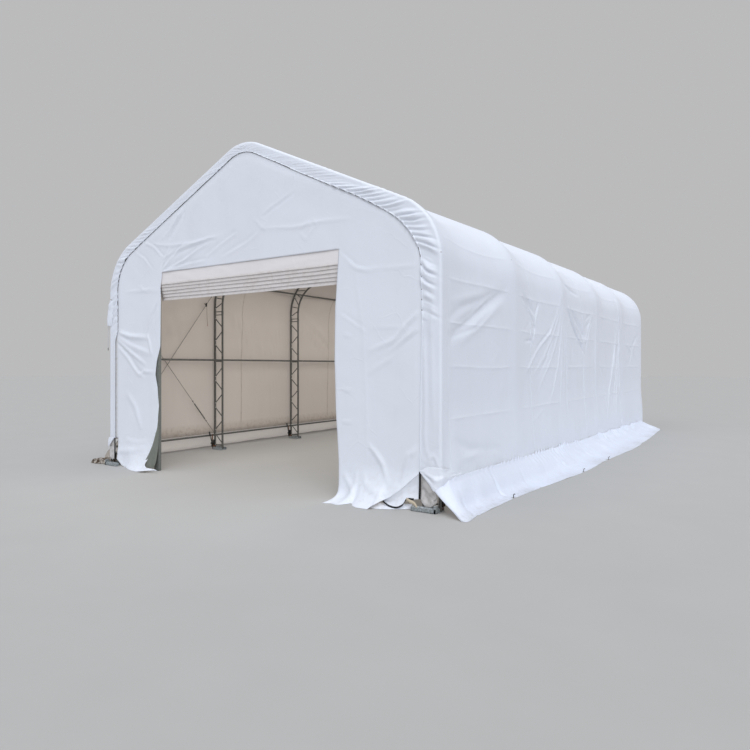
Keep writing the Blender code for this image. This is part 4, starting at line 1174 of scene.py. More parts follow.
end_panel("front_end_panel", -1, FRONT_FOLDS, 0.0188, "front_gable_panel")
end_panel("rear_end_panel", 1, REAR_FOLDS, 0.052, "rear_gable_panel")

# %% [markdown]
# Small cloths at the corners are strips between two lines: the dark facing behind the curled left
# edge of the doorway, the turned flap at the right corner with the cloths under it, and the sleeve
# that the rope leaves.

# %% Tools for small cloths
SMALL_CLOTH = 0.0014


def spline_points(knots, count):
    """A smooth line through points, count points long."""
    knots = np.asarray(knots, float)
    padded = np.vstack([2 * knots[0] - knots[1], knots, 2 * knots[-1] - knots[-2]])
    where = np.linspace(0.0, len(knots) - 1.0, count)
    index = np.minimum(where.astype(int), len(knots) - 2)
    t = (where - index)[:, None]
    a, b, c, d = (padded[index + k] for k in range(4))
    bend = (2 * a - 5 * b + 4 * c - d) * t**2 + (3 * b - a - 3 * c + d) * t**3
    return 0.5 * (2 * b + (c - a) * t + bend)


def strip_between(first, second, counts, bulge, seed, rough):
    """A grid of points between two lines, pushed out along bulge in its middle."""
    first, second = spline_points(first, counts[0]), spline_points(second, counts[0])
    i, j = np.meshgrid(*(np.linspace(0.0, 1.0, count) for count in counts), indexing="ij")
    size = float(np.linalg.norm(first[-1] - first[0]))
    wave = soft_noise(i * size, j * size, size / 5, seed) * rough / np.linalg.norm(bulge)
    points = first[:, None, :] * (1.0 - j[..., None]) + second[:, None, :] * j[..., None]
    return points + ((1.0 + wave) * np.sin(np.pi * j))[..., None] * bulge


def corner_cloth(name, node, finishes, outward, first, second, counts, bulge, seed, rough):
    """A small sheet piece between two lines; it prints its flat size."""
    points = strip_between(first, second, counts, np.array(bulge), seed, rough)
    item = cloth(grid_mesh(name, points), finishes, SMALL_CLOTH, node, outward)
    along = float(step_lengths(points).sum(axis=0).max())
    across = float(step_lengths(points, 1).sum(axis=1).max())
    flat = (round(across, 3), round(along, 3))
    min(area_of(points), flat[0] * flat[1])
    print(name, "flat", flat)


print("small cloths are", SMALL_CLOTH, "m thick")

# %% [markdown]
# Each cloth is given by its name, the node it stands for, its two finishes, the way it faces, its two lines,
# its grid, its bulge, and the seed and height of its unevenness.

# %% Small cloths at the doorway and the right corner
OUT_AND_UP = (0.0, -1.0, 0.3)
FLAP_EDGE = [
    (2.377, -5.66, 0.07), (2.472, -5.67, 0.028), (2.56, -5.66, 0.02), (2.622, -5.63, 0.051),
    (2.657, -5.6, 0.112), (2.738, -5.58, 0.118), (2.798, -5.56, 0.127),
]
corner_cloth(
    "door_facing_left", "front_gable_panel",
    (facing_cloth, facing_cloth), (0.3, -1.0, 0.0),
    [
        (-1.815, -5.5205, 0.8), (-1.85, -5.5245, 0.62), (-1.905, -5.5405, 0.42),
        (-1.965, -5.5705, 0.26), (-2.025, -5.6005, 0.13), (-1.985, -5.6205, 0.055),
    ],
    [
        (-1.8, -5.5205, 0.8), (-1.797, -5.5205, 0.62), (-1.797, -5.5245, 0.42),
        (-1.8, -5.5405, 0.26), (-1.812, -5.5605, 0.13), (-1.835, -5.5805, 0.05),
    ],
    (50, 14), (0.0, -0.012, 0.0), 51, 0.006,
)
corner_cloth(
    "corner_flap_right", "front_gable_panel",
    (panel_cloth, panel_cloth), OUT_AND_UP,
    [
        (2.375, -5.652, 0.082), (2.473, -5.64, 0.14), (2.576, -5.61, 0.221), (2.658, -5.572, 0.303),
        (2.792, -5.541, 0.422),
    ],
    FLAP_EDGE,
    (60, 24), (0.0, 0.022, 0.0), 52, 0.006,
)
corner_cloth(
    "corner_underlap_right", "front_gable_panel",
    (panel_cloth, shaded_inner_cloth), OUT_AND_UP,
    [(2.2, -5.64, 0.04), (2.45, -5.6, 0.045), (2.7, -5.545, 0.06)],
    [(2.12, -5.78, 0.003), (2.346, -5.765, 0.003), (2.514, -5.69, 0.003), (2.7, -5.575, 0.004)],
    (30, 14), (0.0, -0.008, 0.0), 53, 0.006,
)
corner_cloth(
    "cover_corner_right", "main_cover",
    (outer_cloth, shaded_inner_cloth), (0.6, -1.0, 0.0),
    [
        (2.796, -5.545, 0.44), (2.86, -5.54, 0.475), (2.94, -5.536, 0.49), (3.015, -5.53, 0.49),
        (3.062, -5.5, 0.48), (3.068, -5.4, 0.465), (3.08, -5.28, 0.45), (3.092, -5.12, 0.43),
    ],
    [
        (2.798, -5.549, 0.418), (2.852, -5.553, 0.362), (2.925, -5.562, 0.292), (2.988, -5.576, 0.234),
        (3.05, -5.53, 0.275), (3.084, -5.4, 0.332), (3.098, -5.28, 0.352), (3.108, -5.12, 0.358),
    ],
    (110, 30), (0.004, -0.007, 0.0), 59, 0.014,
)
corner_cloth(
    "corner_lining_right", "side_skirt_right",
    (lining_cloth, lining_cloth), OUT_AND_UP,
    [(2.8, -5.538, 0.422), (2.89, -5.545, 0.34), (2.985, -5.564, 0.24), (3.012, -5.56, 0.222)],
    [(2.806, -5.556, 0.115), (2.875, -5.566, 0.05), (2.945, -5.566, 0.055), (3.01, -5.556, 0.105)],
    (30, 22), (0.0, 0.015, 0.0), 55, 0.02,
)

# %% [markdown]
# At the left corner the lining, the end of the cover and the crumpled end of the skirt lie over
# one another. Higher up, the draw rope leaves its hem through a gathered sleeve.

# %% Small cloths at the left corner
corner_cloth(
    "corner_lining_left", "side_skirt_left",
    (lining_cloth, lining_cloth), OUT_AND_UP,
    [(-2.875, -5.534, 0.445), (-2.95, -5.532, 0.44), (-3.04, -5.528, 0.43)],
    [(-2.885, -5.545, 0.11), (-2.94, -5.548, 0.085), (-3.03, -5.54, 0.12)],
    (20, 20), (0.0, 0.012, 0.0), 56, 0.012,
)
corner_cloth(
    "strip_end_left", "main_cover",
    (outer_cloth, shaded_inner_cloth), (0.0, -1.0, 0.0),
    [(-2.884, -5.548, 0.452), (-2.96, -5.546, 0.45), (-3.052, -5.538, 0.446)],
    [(-2.885, -5.549, 0.44), (-2.96, -5.552, 0.365), (-3.04, -5.548, 0.285), (-3.07, -5.54, 0.275)],
    (24, 14), (0.0, -0.006, 0.0), 57, 0.006,
)
corner_cloth(
    "skirt_end_left", "side_skirt_left",
    (dirt_and_shade_cloth, dirt_and_shade_cloth), (0.0, -1.0, 0.5),
    [
        (-3.43, -5.612, 0.004), (-3.33, -5.64, 0.004), (-3.2, -5.625, 0.006), (-3.08, -5.59, 0.01),
        (-3.0, -5.56, 0.03),
    ],
    [
        (-3.405, -5.56, 0.02), (-3.3, -5.52, 0.07), (-3.18, -5.49, 0.085), (-3.09, -5.47, 0.11),
        (-3.06, -5.455, 0.16),
    ],
    (70, 26), (0.0, -0.02, 0.03), 58, 0.04,
)
corner_cloth(
    "rope_sleeve", "main_cover",
    (outer_cloth, shaded_inner_cloth), (-0.6, -1.0, 0.0),
    [
        (-2.99, -5.5295, 2.7), (-3.045, -5.52, 2.62), (-3.092, -5.505, 2.53), (-3.108, -5.5, 2.42),
        (-3.102, -5.5, 2.28),
    ],
    [
        (-2.94, -5.5295, 2.66), (-2.94, -5.532, 2.58), (-2.95, -5.534, 2.48), (-2.96, -5.534, 2.36),
        (-2.99, -5.5295, 2.25),
    ],
    (40, 18), (-0.03, -0.03, 0.0), 54, 0.01,
)

# %% [markdown]
# The side skirts are the last 0.4 m of the cover, turned out on the ground. The top line runs
# along the wall and, on the right, round the front corner; the outer line is as it was dropped,
# with small notches where it is pegged or caught. The profile between them bulges over the tube
# near the front and falls straight towards the rear. The gathers under the seam are pleats again.

# %% Lines of the side skirts
SKIRT_ROWS = 26
SKIRT_CLOTH = 0.0016
FINE = 3000
TOOTH_PITCH = 0.12
SKIRT_SHAPES = (
    [
        (0.0, 1.0), (0.04, 0.9), (0.14, 0.74), (0.25, 0.56), (0.34, 0.36), (0.44, 0.16), (0.6, 0.045),
        (0.8, 0.01), (1.0, 0.006),
    ],
    [
        (0.0, 1.0), (0.05, 0.84), (0.12, 0.64), (0.22, 0.43), (0.34, 0.26), (0.48, 0.13), (0.64, 0.05),
        (0.82, 0.015), (1.0, 0.006),
    ],
    [
        (0.0, 1.0), (0.12, 0.87), (0.25, 0.74), (0.38, 0.61), (0.5, 0.49), (0.63, 0.37), (0.76, 0.24),
        (0.88, 0.11), (1.0, 0.006),
    ],
)
RIGHT_TOP = [
    (2.988, -5.574, 0.236), (3.01, -5.562, 0.248), (3.035, -5.545, 0.265), (3.064, -5.49, 0.3),
    (3.082, -5.4, 0.335), (3.096, -5.28, 0.356), (3.104, -5.12, 0.364), (3.106, -4.85, 0.36),
    (3.106, -4.45, 0.352), (3.106, -4.0, 0.342), (3.106, -3.5, 0.331), (3.106, -1.95, 0.304),
    (3.106, -0.5, 0.28), (3.106, 1.2, 0.256), (3.106, 2.8, 0.231), (3.106, 4.2, 0.21), (3.104, 5.2, 0.198),
    (3.075, 5.44, 0.192), (3.056, 5.56, 0.18),
]
RIGHT_OUT = [
    (3.4, -5.755), (3.45, -5.755), (3.468, -5.71), (3.462, -5.62), (3.446, -5.5), (3.44, -5.41),
    (3.438, -5.2), (3.44, -4.9), (3.44, -4.45), (3.47, -4.0), (3.5, -3.56), (3.64, -1.99), (3.64, -0.52),
    (3.72, 1.19), (3.665, 2.78), (3.6, 4.2), (3.54, 5.2), (3.51, 5.45), (3.48, 5.62),
]
LEFT_TOP = [
    (3.05, -5.47, 0.3), (3.052, -5.44, 0.33), (3.053, -5.2, 0.395), (3.053, -4.5, 0.399),
    (3.053, -3.0, 0.399), (3.053, -1.0, 0.399), (3.053, 1.2, 0.399), (3.053, 3.0, 0.399),
    (3.053, 5.5, 0.399), (3.045, 5.6, 0.38),
]
LEFT_OUT = [
    (3.44, -5.62), (3.52, -5.5), (3.56, -5.25), (3.52, -4.5), (3.57, -3.0), (3.54, -1.0), (3.6, 1.2),
    (3.57, 3.0), (3.62, 5.5), (3.64, 5.7),
]
NOTCHES = ((-4.36, 0.06), (-1.99, 0.05), (-0.5, 0.07), (-3.56, 0.022), (-5.43, 0.015))
NOTCH_WIDTH = 0.045
SKIRT_FOLDS = {
    "soft": [
        (0.06, 0.018, -2.1, 0.1, -2.0, 0.35, -1.8, 0.6), (0.06, 0.022, -1.8, 0.08, -1.62, 0.35, -1.3, 0.55),
        (0.06, 0.02, -1.45, 0.06, -1.25, 0.3, -0.9, 0.45),
        (0.06, 0.022, -1.05, 0.05, -0.8, 0.28, -0.4, 0.4),
        (0.07, 0.02, -0.55, 0.06, -0.35, 0.3, 0.05, 0.42), (0.08, 0.022, 0.3, 0.06, 0.55, 0.35, 0.8, 0.55),
        (0.08, 0.02, 1.2, 0.06, 1.4, 0.3, 1.6, 0.5), (0.1, 0.024, 2.2, 0.06, 2.5, 0.35, 2.6, 0.55),
        (0.1, 0.026, 3.4, 0.06, 3.7, 0.35, 3.9, 0.6), (0.1, 0.026, 4.6, 0.06, 4.8, 0.4, 5.1, 0.7),
    ],
}
print("skirt profiles:", len(SKIRT_SHAPES), "notches:", len(NOTCHES))

# %% [markdown]
# The columns of a skirt are spread by the length of both lines, so none is stretched at the
# corner. Its profile changes from the bulge over the tube to a plain fall.


# %% Columns and profile of a skirt
def skirt_lines(top, out, columns):
    """The two lines of a skirt, with their columns closer where either of them turns."""
    top, out = spline_points(top, FINE), spline_points([(*knot, 0.0) for knot in out], FINE)
    steps = step_lengths(top) + 0.3 * step_lengths(out)
    length = np.concatenate([[0.0], np.cumsum(steps)])
    knots = np.arange(float(FINE))
    pick = np.interp(np.linspace(0.0, length[-1], columns), length, knots)
    return [np.stack([np.interp(pick, knots, line[:, k]) for k in range(3)], axis=-1) for line in (top, out)]


def skirt_profile(y, right):
    """Reach outwards and height of a skirt's rows, as shares, for every column."""
    bulge, fall, corner_fall = (spline_points(shape, SKIRT_ROWS) for shape in SKIRT_SHAPES)
    rear = smooth(-3.2, -0.6, y)[..., None]
    corner = np.maximum(smooth(-5.28, -5.53, y) * right, smooth(5.3, 5.62, y))[..., None]
    profile = (bulge * (1 - rear) + fall * rear) * (1 - corner) + corner_fall * corner
    return profile[..., 0], profile[..., 1]


print("rows of a skirt", skirt_profile(np.zeros((1, 1)), True)[0].shape[1])

# %% [markdown]
# Small teeth stand along the seam, wider pushes roll over the slope, and the front end of the
# left skirt is crumpled.


# %% Side skirts
def side_skirt(side, sign, lines, seed, columns):
    """The skirt of one side; sign is 1 on the right."""
    right = sign > 0
    top, out = skirt_lines(*lines, columns)
    if right:
        for place, deep in NOTCHES:
            out[:, 0] -= deep * np.clip(1.0 - np.abs(out[:, 1] - place) / NOTCH_WIDTH, 0.0, 1.0)
    reach, fall = skirt_profile(top[:, 1][:, None], right)
    j = np.broadcast_to(np.linspace(0.0, 1.0, SKIRT_ROWS), reach.shape)
    base = top[:, None, :] * (1.0 - reach[..., None]) + out[:, None, :] * reach[..., None]
    along = top[:, 1][:, None] + 0.0 * j
    past_corner = smooth(-3.4, -2.2, along)
    swing = along + 0.075 * soft_noise(along, j * 0.7, 0.36, seed)
    tooth = (1.0 - np.abs(np.sin(swing * math.pi / TOOTH_PITCH))) ** 1.5
    uneven = np.clip(0.7 + line_noise(along, 0.22, seed + 8), 0.1, 1.5)
    seam_teeth = (0.044 + 0.012 * past_corner) * tooth * uneven * smooth(0.16, 0.0, j)
    base[..., 2] = top[:, None, 2] * fall + seam_teeth
    push = tooth * (0.7 + 0.7 * line_noise(along, 0.3, seed + 1)) * (0.01 + 0.044 * past_corner)
    push *= smooth(0.0, 0.08, j) * smooth(0.5, 0.08, j)
    broad = soft_noise(along + 0.25 * j, j * 0.35, 0.24, seed + 2) * 0.016
    push += (broad + soft_noise(along, j, 0.75, seed + 3) * 0.018) * smooth(0.1, 0.4, j)
    crumple = smooth(-4.95, -5.45, along) * (not right)
    crushed = soft_noise(along, j * 0.5, 0.07, seed + 4) * 0.02
    crushed += np.abs(soft_noise(along, j * 0.5, 0.13, seed + 5)) * 0.035
    push += crumple * crushed * smooth(0.1, 0.4, j)
    if right:
        push += folds(along, j, SKIRT_FOLDS)
    across = (out - top) * (1.0, 1.0, 0.0)
    across /= np.linalg.norm(across, axis=-1, keepdims=True)
    slope = np.clip(1.0 - np.abs(fall - 0.35), 0.25, 1.0)
    base += across[:, None, :] * (push * 0.55 * slope * (1.0 - smooth(0.8, 1.0, j)))[..., None]
    base[..., 2] += np.abs(push) * (0.45 + 0.35 * smooth(0.45, 0.75, j)) * smooth(1.02, 0.8, j)
    base[..., 2] += 0.01 * np.maximum(line_noise(along, 0.3, seed + 6), 0.0) * smooth(0.75, 1.0, j)
    base[..., 2] = np.maximum(base[..., 2], ON_GROUND)
    base[..., 0] *= sign
    # The outer edge on the ground is darkened with dirt; the crumpled front end of the left skirt with dirt
    # and painted shade.
    edge = smooth(0.55, 1.0, j) * (0.3 + 0.3 * soft_noise(along, j, 0.5, seed + 7))
    mesh = grid_mesh(f"skirt_{side}", base, grime=np.clip(edge + crumple * 1.1, 0.0, 1.0))
    finishes = (skirt_cloth, shaded_skirt_inner)
    item = cloth(mesh, finishes, SKIRT_CLOTH, f"side_skirt_{side}", (sign, 0.0, 0.6))
    width, length = step_lengths(base, 1).sum(axis=1).mean(), step_lengths(top).sum()
    flat = (round(float(width), 2), round(float(length), 2))
    print(mesh.name, "flat", flat, "area", round(area_of(base), 2))


side_skirt("right", 1, (RIGHT_TOP, RIGHT_OUT), 61, 610)
side_skirt("left", -1, (LEFT_TOP, LEFT_OUT), 71, 340)

# %% [markdown]
# The door cloth is one sheet, drawn up like a Roman blind. It goes down as the valance, up behind
# it and down again, and each fold hangs lower than the one in front of it, so that only its lowest
# five centimetres show. With its hidden legs it is as long as the doorway is high.

# %% Door cloth
CURTAIN_HALF = 1.792
CURTAIN_CLOTH = 0.0012
CURTAIN_FRONT = FRONT_Y - 0.018
FOLD_BOTTOMS = (2.84, 2.797, 2.749, 2.701, 2.653, 2.608)
FOLD_TOP = 3.085
FOLD_DEPTH = 0.225
FOLD_ROUND = 0.01
LEG_FOOT = 0.016
LEG_SPACING = 0.0062
PUFFS = {
    "soft": [
        (0.045, 0.008, -1.55, 3.03, -1.2, 2.93, -0.95, 2.87),
        (0.04, 0.007, -0.6, 3.04, -0.35, 2.95, -0.28, 2.88), (0.03, 0.006, -0.12, 3.0, -0.3, 2.9),
        (0.035, 0.005, 0.3, 2.88, 0.9, 2.93, 1.5, 2.97),
    ],
}


def curtain_profile():
    """Depth behind the front and height of the drawn up cloth, leg by leg."""
    path, depth, top = [], 0.0, FOLD_TOP
    for bottom, following in zip(FOLD_BOTTOMS, (*FOLD_BOTTOMS[1:], None)):
        path += [(depth, z) for z in np.linspace(top, bottom + LEG_FOOT, 9)]
        for turn in np.linspace(0.0, math.pi, 7)[1:-1]:
            radius = LEG_SPACING / 2 * (1.0 + 1.6 * math.sin(turn))
            across = depth + LEG_SPACING / 2 - radius * math.cos(turn)
            path.append((across, bottom + FOLD_ROUND - FOLD_ROUND * math.sin(turn)))
        depth += LEG_SPACING
        if following:
            top = following + FOLD_DEPTH
            path += [(depth, z) for z in np.linspace(bottom + LEG_FOOT, top - 0.006, 7)]
            path.append((depth + LEG_SPACING / 2, top + 0.002))
            depth += LEG_SPACING
    path += [(depth, z) for z in np.linspace(FOLD_BOTTOMS[-1] + LEG_FOOT, 2.95, 8)]
    return np.array(path)


profile = curtain_profile()
columns = spread([-CURTAIN_HALF, CURTAIN_HALF], 0.05)
x, leg = np.meshgrid(columns, np.arange(len(profile)), indexing="ij")
depth, z = profile[leg, 0], profile[leg, 1]
valance = (depth < 0.5 * LEG_SPACING) & (z > 2.85)
ripple = soft_noise(x, z * 1.5 + depth * 40.0, 0.32, 81) * 0.0016
ripple += soft_noise(x + z * 0.6, z * 3.0, 0.11, 82) * 0.0008
sag = 0.006 * np.cos(x / CURTAIN_HALF * math.pi / 2) + 0.004 * soft_noise(x, depth * 90.0, 0.55, 83)
y = CURTAIN_FRONT + depth + ripple * 0.8 - np.where(valance, folds(x, z, PUFFS), 0.0) * 0.7
y = np.clip(y, FRONT_Y - 0.0225, FRONT_Y + 0.053)
z = z - sag * smooth(2.99, 2.84, z)
# Painted shade: the folds under the valance are painted half way to the darker colour.
mesh = grid_mesh("door_cloth", np.stack([x, y, z], axis=-1), grime=0.5 * smooth(2.862, 2.85, z))
finishes = (curtain_cloth, curtain_cloth)
item = cloth(mesh, finishes, CURTAIN_CLOTH, "door_curtain", (0.0, -1.0, 0.0))
flat = (round(2 * CURTAIN_HALF, 2), round(float(step_lengths(profile).sum()), 2))
print("door cloth", flat)

# %% [markdown]
# Everything of steel is tube or rod along straight or bent lines, so one node tree does it all:
# it turns edges into curves, sweeps a ring of a given radius along them, closes the ends and gives
# the result its finish. A second tree sets a low bead of weld on every point it is given, and a
# third one a bolt with its washer. A tree is written as its inputs, its nodes by short names, and
# its links as pairs of node and socket; this helper builds it.


# %% Tree builder
def grown_tree(name, inputs, nodes, links, last):
    """A tree; what the last socket gives is made real and gets its finish."""
    tree = bpy.data.node_groups.new(name, "GeometryNodeTree")
    inputs = {"Geometry": "Geometry", "Radius": "Float", **inputs, "Finish": "Material"}
    for label, kind in inputs.items():
        tree.interface.new_socket(label, in_out="INPUT", socket_type=f"NodeSocket{kind}")
    tree.interface.new_socket("Geometry", in_out="OUTPUT", socket_type="NodeSocketGeometry")
    made = {"given": tree.nodes.new("NodeGroupInput"), "result": tree.nodes.new("NodeGroupOutput")}
    nodes = {**nodes, "real": ("GeometryNodeRealizeInstances", {}), "paint": ("GeometryNodeSetMaterial", {})}
    for short, (kind, values) in nodes.items():
        node = made[short] = tree.nodes.new(kind)
        for key, value in values.items():
            if key in node.inputs:
                node.inputs[key].default_value = value
            else:
                setattr(node, key, value)
    ending = (
        (last, "real.Geometry"), ("real.Geometry", "paint.Geometry"),
        ("given.Finish", "paint.Material"), ("paint.Geometry", "result.Geometry"),
    )
    for source, target in (*links, *ending):
        source, outlet = source.split(".")
        target, inlet = target.split(".")
        tree.links.new(made[source].outputs[outlet], made[target].inputs[inlet])
    return tree


print("tree builder ready")

# %% [markdown]
# The tree for tubes sweeps a ring along the edges. The bead's tree turns each bead at random, with
# a fixed seed, and the bolt is three short cylinders, one above the other.

# %% Node trees for steel
TUBES = grown_tree(
    "tubes_along_edges", {"Sides": "Int"},
    {
        "line": ("GeometryNodeMeshToCurve", {}),
        "ring": ("GeometryNodeCurvePrimitiveCircle", {}),
        "sweep": ("GeometryNodeCurveToMesh", {"Fill Caps": True}),
        "soft": ("GeometryNodeSetShadeSmooth", {}),
    },
    (
        ("given.Geometry", "line.Mesh"), ("line.Curve", "sweep.Curve"),
        ("given.Radius", "ring.Radius"), ("given.Sides", "ring.Resolution"),
        ("ring.Curve", "sweep.Profile Curve"), ("sweep.Mesh", "soft.Geometry"),
    ),
    "soft.Geometry",
)
ANY_TURN = {"data_type": "FLOAT_VECTOR", "Max": (6.28, 6.28, 6.28), "Seed": 5}
BEADS = grown_tree(
    "weld_beads", {},
    {
        "bead": ("GeometryNodeMeshIcoSphere", {"Subdivisions": 1}),
        "spin": ("FunctionNodeRandomValue", ANY_TURN),
        "put": ("GeometryNodeInstanceOnPoints", {}),
        "soft": ("GeometryNodeSetShadeSmooth", {}),
    },
    (
        ("given.Geometry", "put.Points"), ("given.Radius", "bead.Radius"),
        ("bead.Mesh", "put.Instance"), ("spin.Value", "put.Rotation"),
        ("put.Instances", "soft.Geometry"),
    ),
    "soft.Geometry",
)
DISCS = {
    "washer": (16, 0.015, 0.003, 0.0015),
    "nut": (6, 0.0105, 0.009, 0.0075),
    "stem": (10, 0.0055, 0.02, 0.013),
}
bolt_nodes = {"parts": ("GeometryNodeJoinGeometry", {}), "put": ("GeometryNodeInstanceOnPoints", {})}
bolt_links = [("given.Geometry", "put.Points"), ("parts.Geometry", "put.Instance")]
for disc, (sides, radius, height, lift) in DISCS.items():
    shape = {"Vertices": sides, "Radius": radius, "Depth": height}
    bolt_nodes[disc] = ("GeometryNodeMeshCylinder", shape)
    bolt_nodes[f"{disc} up"] = ("GeometryNodeTransform", {"Translation": (0.0, 0.0, lift)})
    bolt_links += [(f"{disc}.Mesh", f"{disc} up.Geometry"), (f"{disc} up.Geometry", "parts.Geometry")]
BOLTS = grown_tree("bolts", {}, bolt_nodes, bolt_links, "put.Instances")
print("trees:", TUBES.name, BEADS.name, BOLTS.name)

# %% [markdown]
# A tree runs as a modifier on a mesh of points or edges, whose inputs are set by the sockets'
# identifiers. What it makes is taken out as a plain mesh, and the object that carried it goes.


# %% Tubes and bars
def grown(mesh, tree, **values):
    """The mesh that a tree makes from another one."""
    item = placed("seed", mesh)
    modifier = item.modifiers.new("tree", "NODES")
    modifier.node_group = tree
    for socket in tree.interface.items_tree:
        if socket.name in values:
            modifier[socket.identifier] = values[socket.name]
    bpy.context.view_layer.update()
    evaluated = item.evaluated_get(bpy.context.evaluated_depsgraph_get())
    made = bpy.data.meshes.new_from_object(evaluated)
    bpy.data.objects.remove(item, do_unlink=True)
    return made


def lines_mesh(routes):
    """A mesh of edges only, one run of them for each route."""
    verts, edges = [], []
    for route in routes:
        first = len(verts)
        verts += [tuple(p) for p in route]
        edges += [(first + i, first + i + 1) for i in range(len(route) - 1)]
    mesh = bpy.data.meshes.new("lines")
    mesh.from_pydata(verts, edges, [])
    return mesh


def tubes(routes, diameter, sides, finish):
    """Round bars along routes."""
    return grown(lines_mesh(routes), TUBES, Radius=diameter / 2, Sides=sides, Finish=finish)


def bars(finish, *rows):
    """Round bars of one finish; a row is diameter, sides and the points of one route."""
    return [tubes([route], diameter, sides, finish) for diameter, sides, *route in rows]


print("tubes and bars ready")

# %% [markdown]
# Flat parts are blocks with softened edges, because no edge of real steel is quite sharp. Small
# meshes are joined to one piece, where each keeps its own finish.


# %% Blocks and joined meshes
def block(low, high, finish, bevel=0.0015):
    """A solid block with softened edges, between two corners in any order."""
    cage = bmesh.new()
    made = bmesh.ops.create_cube(cage, size=1.0)
    for vert in made["verts"]:
        vert.co = [(a + b) / 2 + share * abs(b - a) for a, b, share in zip(low, high, vert.co)]
    bmesh.ops.bevel(cage, geom=cage.edges[:], offset=bevel, segments=2, affect="EDGES", profile=0.5)
    mesh = bpy.data.meshes.new("block")
    cage.to_mesh(mesh)
    cage.free()
    mesh.materials.append(finish)
    return mesh


def merged(name, meshes):
    """Several meshes in one, each with its own finish."""
    cage = bmesh.new()
    finishes = []
    for mesh in meshes:
        before = len(cage.faces)
        cage.from_mesh(mesh)
        cage.faces.ensure_lookup_table()
        finish = mesh.materials[0]
        if finish not in finishes:
            finishes.append(finish)
        for face in cage.faces[before:]:
            face.material_index = finishes.index(finish)
    mesh = bpy.data.meshes.new(name)
    cage.to_mesh(mesh)
    cage.free()
    for finish in finishes:
        mesh.materials.append(finish)
    return mesh


def steel_piece(name, mesh, node):
    """A piece of steel on the frame."""
    return on_frame(placed(name, mesh), node)


print("blocks and joined meshes ready")

# %% [markdown]
# A truss half is drawn once, for the right side: two chords that follow the arch, rods welded
# zigzag between them, cross bars where the purlins rest and where leg and rafter meet. The left
# half is the right one turned round.

# %% Lines of a truss
ROD = 0.018
BEAD = 0.0135
JOINT = 2.62
JOINT_GAP = 0.0002
ROD_RISE = 0.165
ROD_GAP = 0.09
WALL_TUBE = 0.035
PURLIN_SEAT = WALL_TUBE / 2 + 0.0003 + ROD / 2
WALL_PURLIN = 1.72
EAVE_PURLIN = 3.284
CHORDS = (OUTER_CHORD, INNER_CHORD)


def on_arch(station, inset):
    """A point of the arch as numbers."""
    x, z = arch_point(station, inset)
    return (float(x), 0.0, float(z))


def chord_line(start, end, inset):
    """Points of a chord, close together round the bends."""
    bends = [*np.linspace(WALL_TOP, SHOULDER_END, 17), *np.linspace(ROOF_END, RIDGE, 7)]
    return [on_arch(s, inset) for s in (start, *(s for s in bends if start < s < end), end)]


def web(outer, inner):
    """A rod from a station of the outer chord to one of the inner chord."""
    return [on_arch(outer, OUTER_CHORD + 0.012), on_arch(inner, INNER_CHORD - 0.012)]


def zigzag(start, step, count, from_outer):
    """Rods that lean one way and the other."""
    rods, station = [], start
    for _ in range(count):
        end = station + step * ROD_RISE
        rods.append(web(station, end) if from_outer else web(end, station))
        from_outer = not from_outer
        station = end + step * ROD_GAP
    return rods


chord_run = run_length(chord_line(0.0, JOINT, OUTER_CHORD))
print("outer chord of a leg", round(chord_run, 2), "m")

# %% [markdown]
# Every end of a rod has its bead of weld, and each leg stands in a short channel with three
# bolts. A sleeve covers the joint of leg and rafter.


# %% Trusses
def lattice(lines, rods):
    """Chords, the rods between them and a bead of weld on every end of a rod."""
    ends = lines_mesh([[p] for rod in rods for p in rod])
    beads = grown(ends, BEADS, Radius=BEAD, Finish=truss_steel)
    return [tubes(lines, CHORD, 16, truss_steel), tubes(rods, ROD, 10, truss_steel), beads]


def base_channel():
    """The channel under a leg, its bolts and a stub at its outer end."""
    outer = HALF_WIDTH - 0.0043
    inner = outer - 0.27
    parts = [block((inner, -0.058, 0.0), (outer, 0.058, 0.01), plate_steel)]
    for side in (-1, 1):
        parts.append(block((inner, side * 0.0585, 0.0005), (outer, side * 0.0525, 0.05), plate_steel))
    parts += bars(plate_steel, (0.03, 16, (outer - 0.018, 0.0, 0.008), (outer - 0.018, 0.0, 0.115)))
    places = [[(inner + x, y, 0.01)] for x, y in ((0.085, 0.03), (0.085, -0.03), (0.15, 0.0))]
    return parts + [grown(lines_mesh(places), BOLTS, Radius=0.01, Finish=plate_steel)]


leg_rods = zigzag(2.52, -1, 3, True) + zigzag(1.57, -1, 6, False)
leg_rods += [web(s, s) for s in (JOINT - 0.03, WALL_PURLIN - PURLIN_SEAT, 0.085)]
leg_lines = [chord_line(0.011, JOINT - JOINT_GAP, inset) for inset in CHORDS]
leg_mesh = merged("leg", lattice(leg_lines, leg_rods) + base_channel())

eave_seat = PURLIN_SEAT * SHOULDER_RADIUS / (SHOULDER_RADIUS - MID_DEPTH)
ridge_seat = PURLIN_SEAT * RIDGE_RADIUS / (RIDGE_RADIUS - MID_DEPTH)
rafter_rods = [web(s, s) for s in (JOINT + 0.03, 2.931, EAVE_PURLIN - eave_seat, RIDGE - ridge_seat)]
rafter_rods += [web(2.72, 2.83), web(3.159, 3.021), web(3.33, 3.53)] + zigzag(3.62, 1, 11, False)
rafter_lines = [chord_line(JOINT + JOINT_GAP, RIDGE, inset) for inset in CHORDS]
rafter_lines = [line[:-1] + [(2 * JOINT_GAP, 0.0, line[-1][2])] for line in rafter_lines]
sleeves = [[on_arch(JOINT - 0.028, inset), on_arch(JOINT + 0.034, inset)] for inset in CHORDS]
sleeve_tubes = tubes(sleeves, CHORD + 0.004, 16, truss_steel)
rafter_mesh = merged("rafter", lattice(rafter_lines, rafter_rods) + [sleeve_tubes])
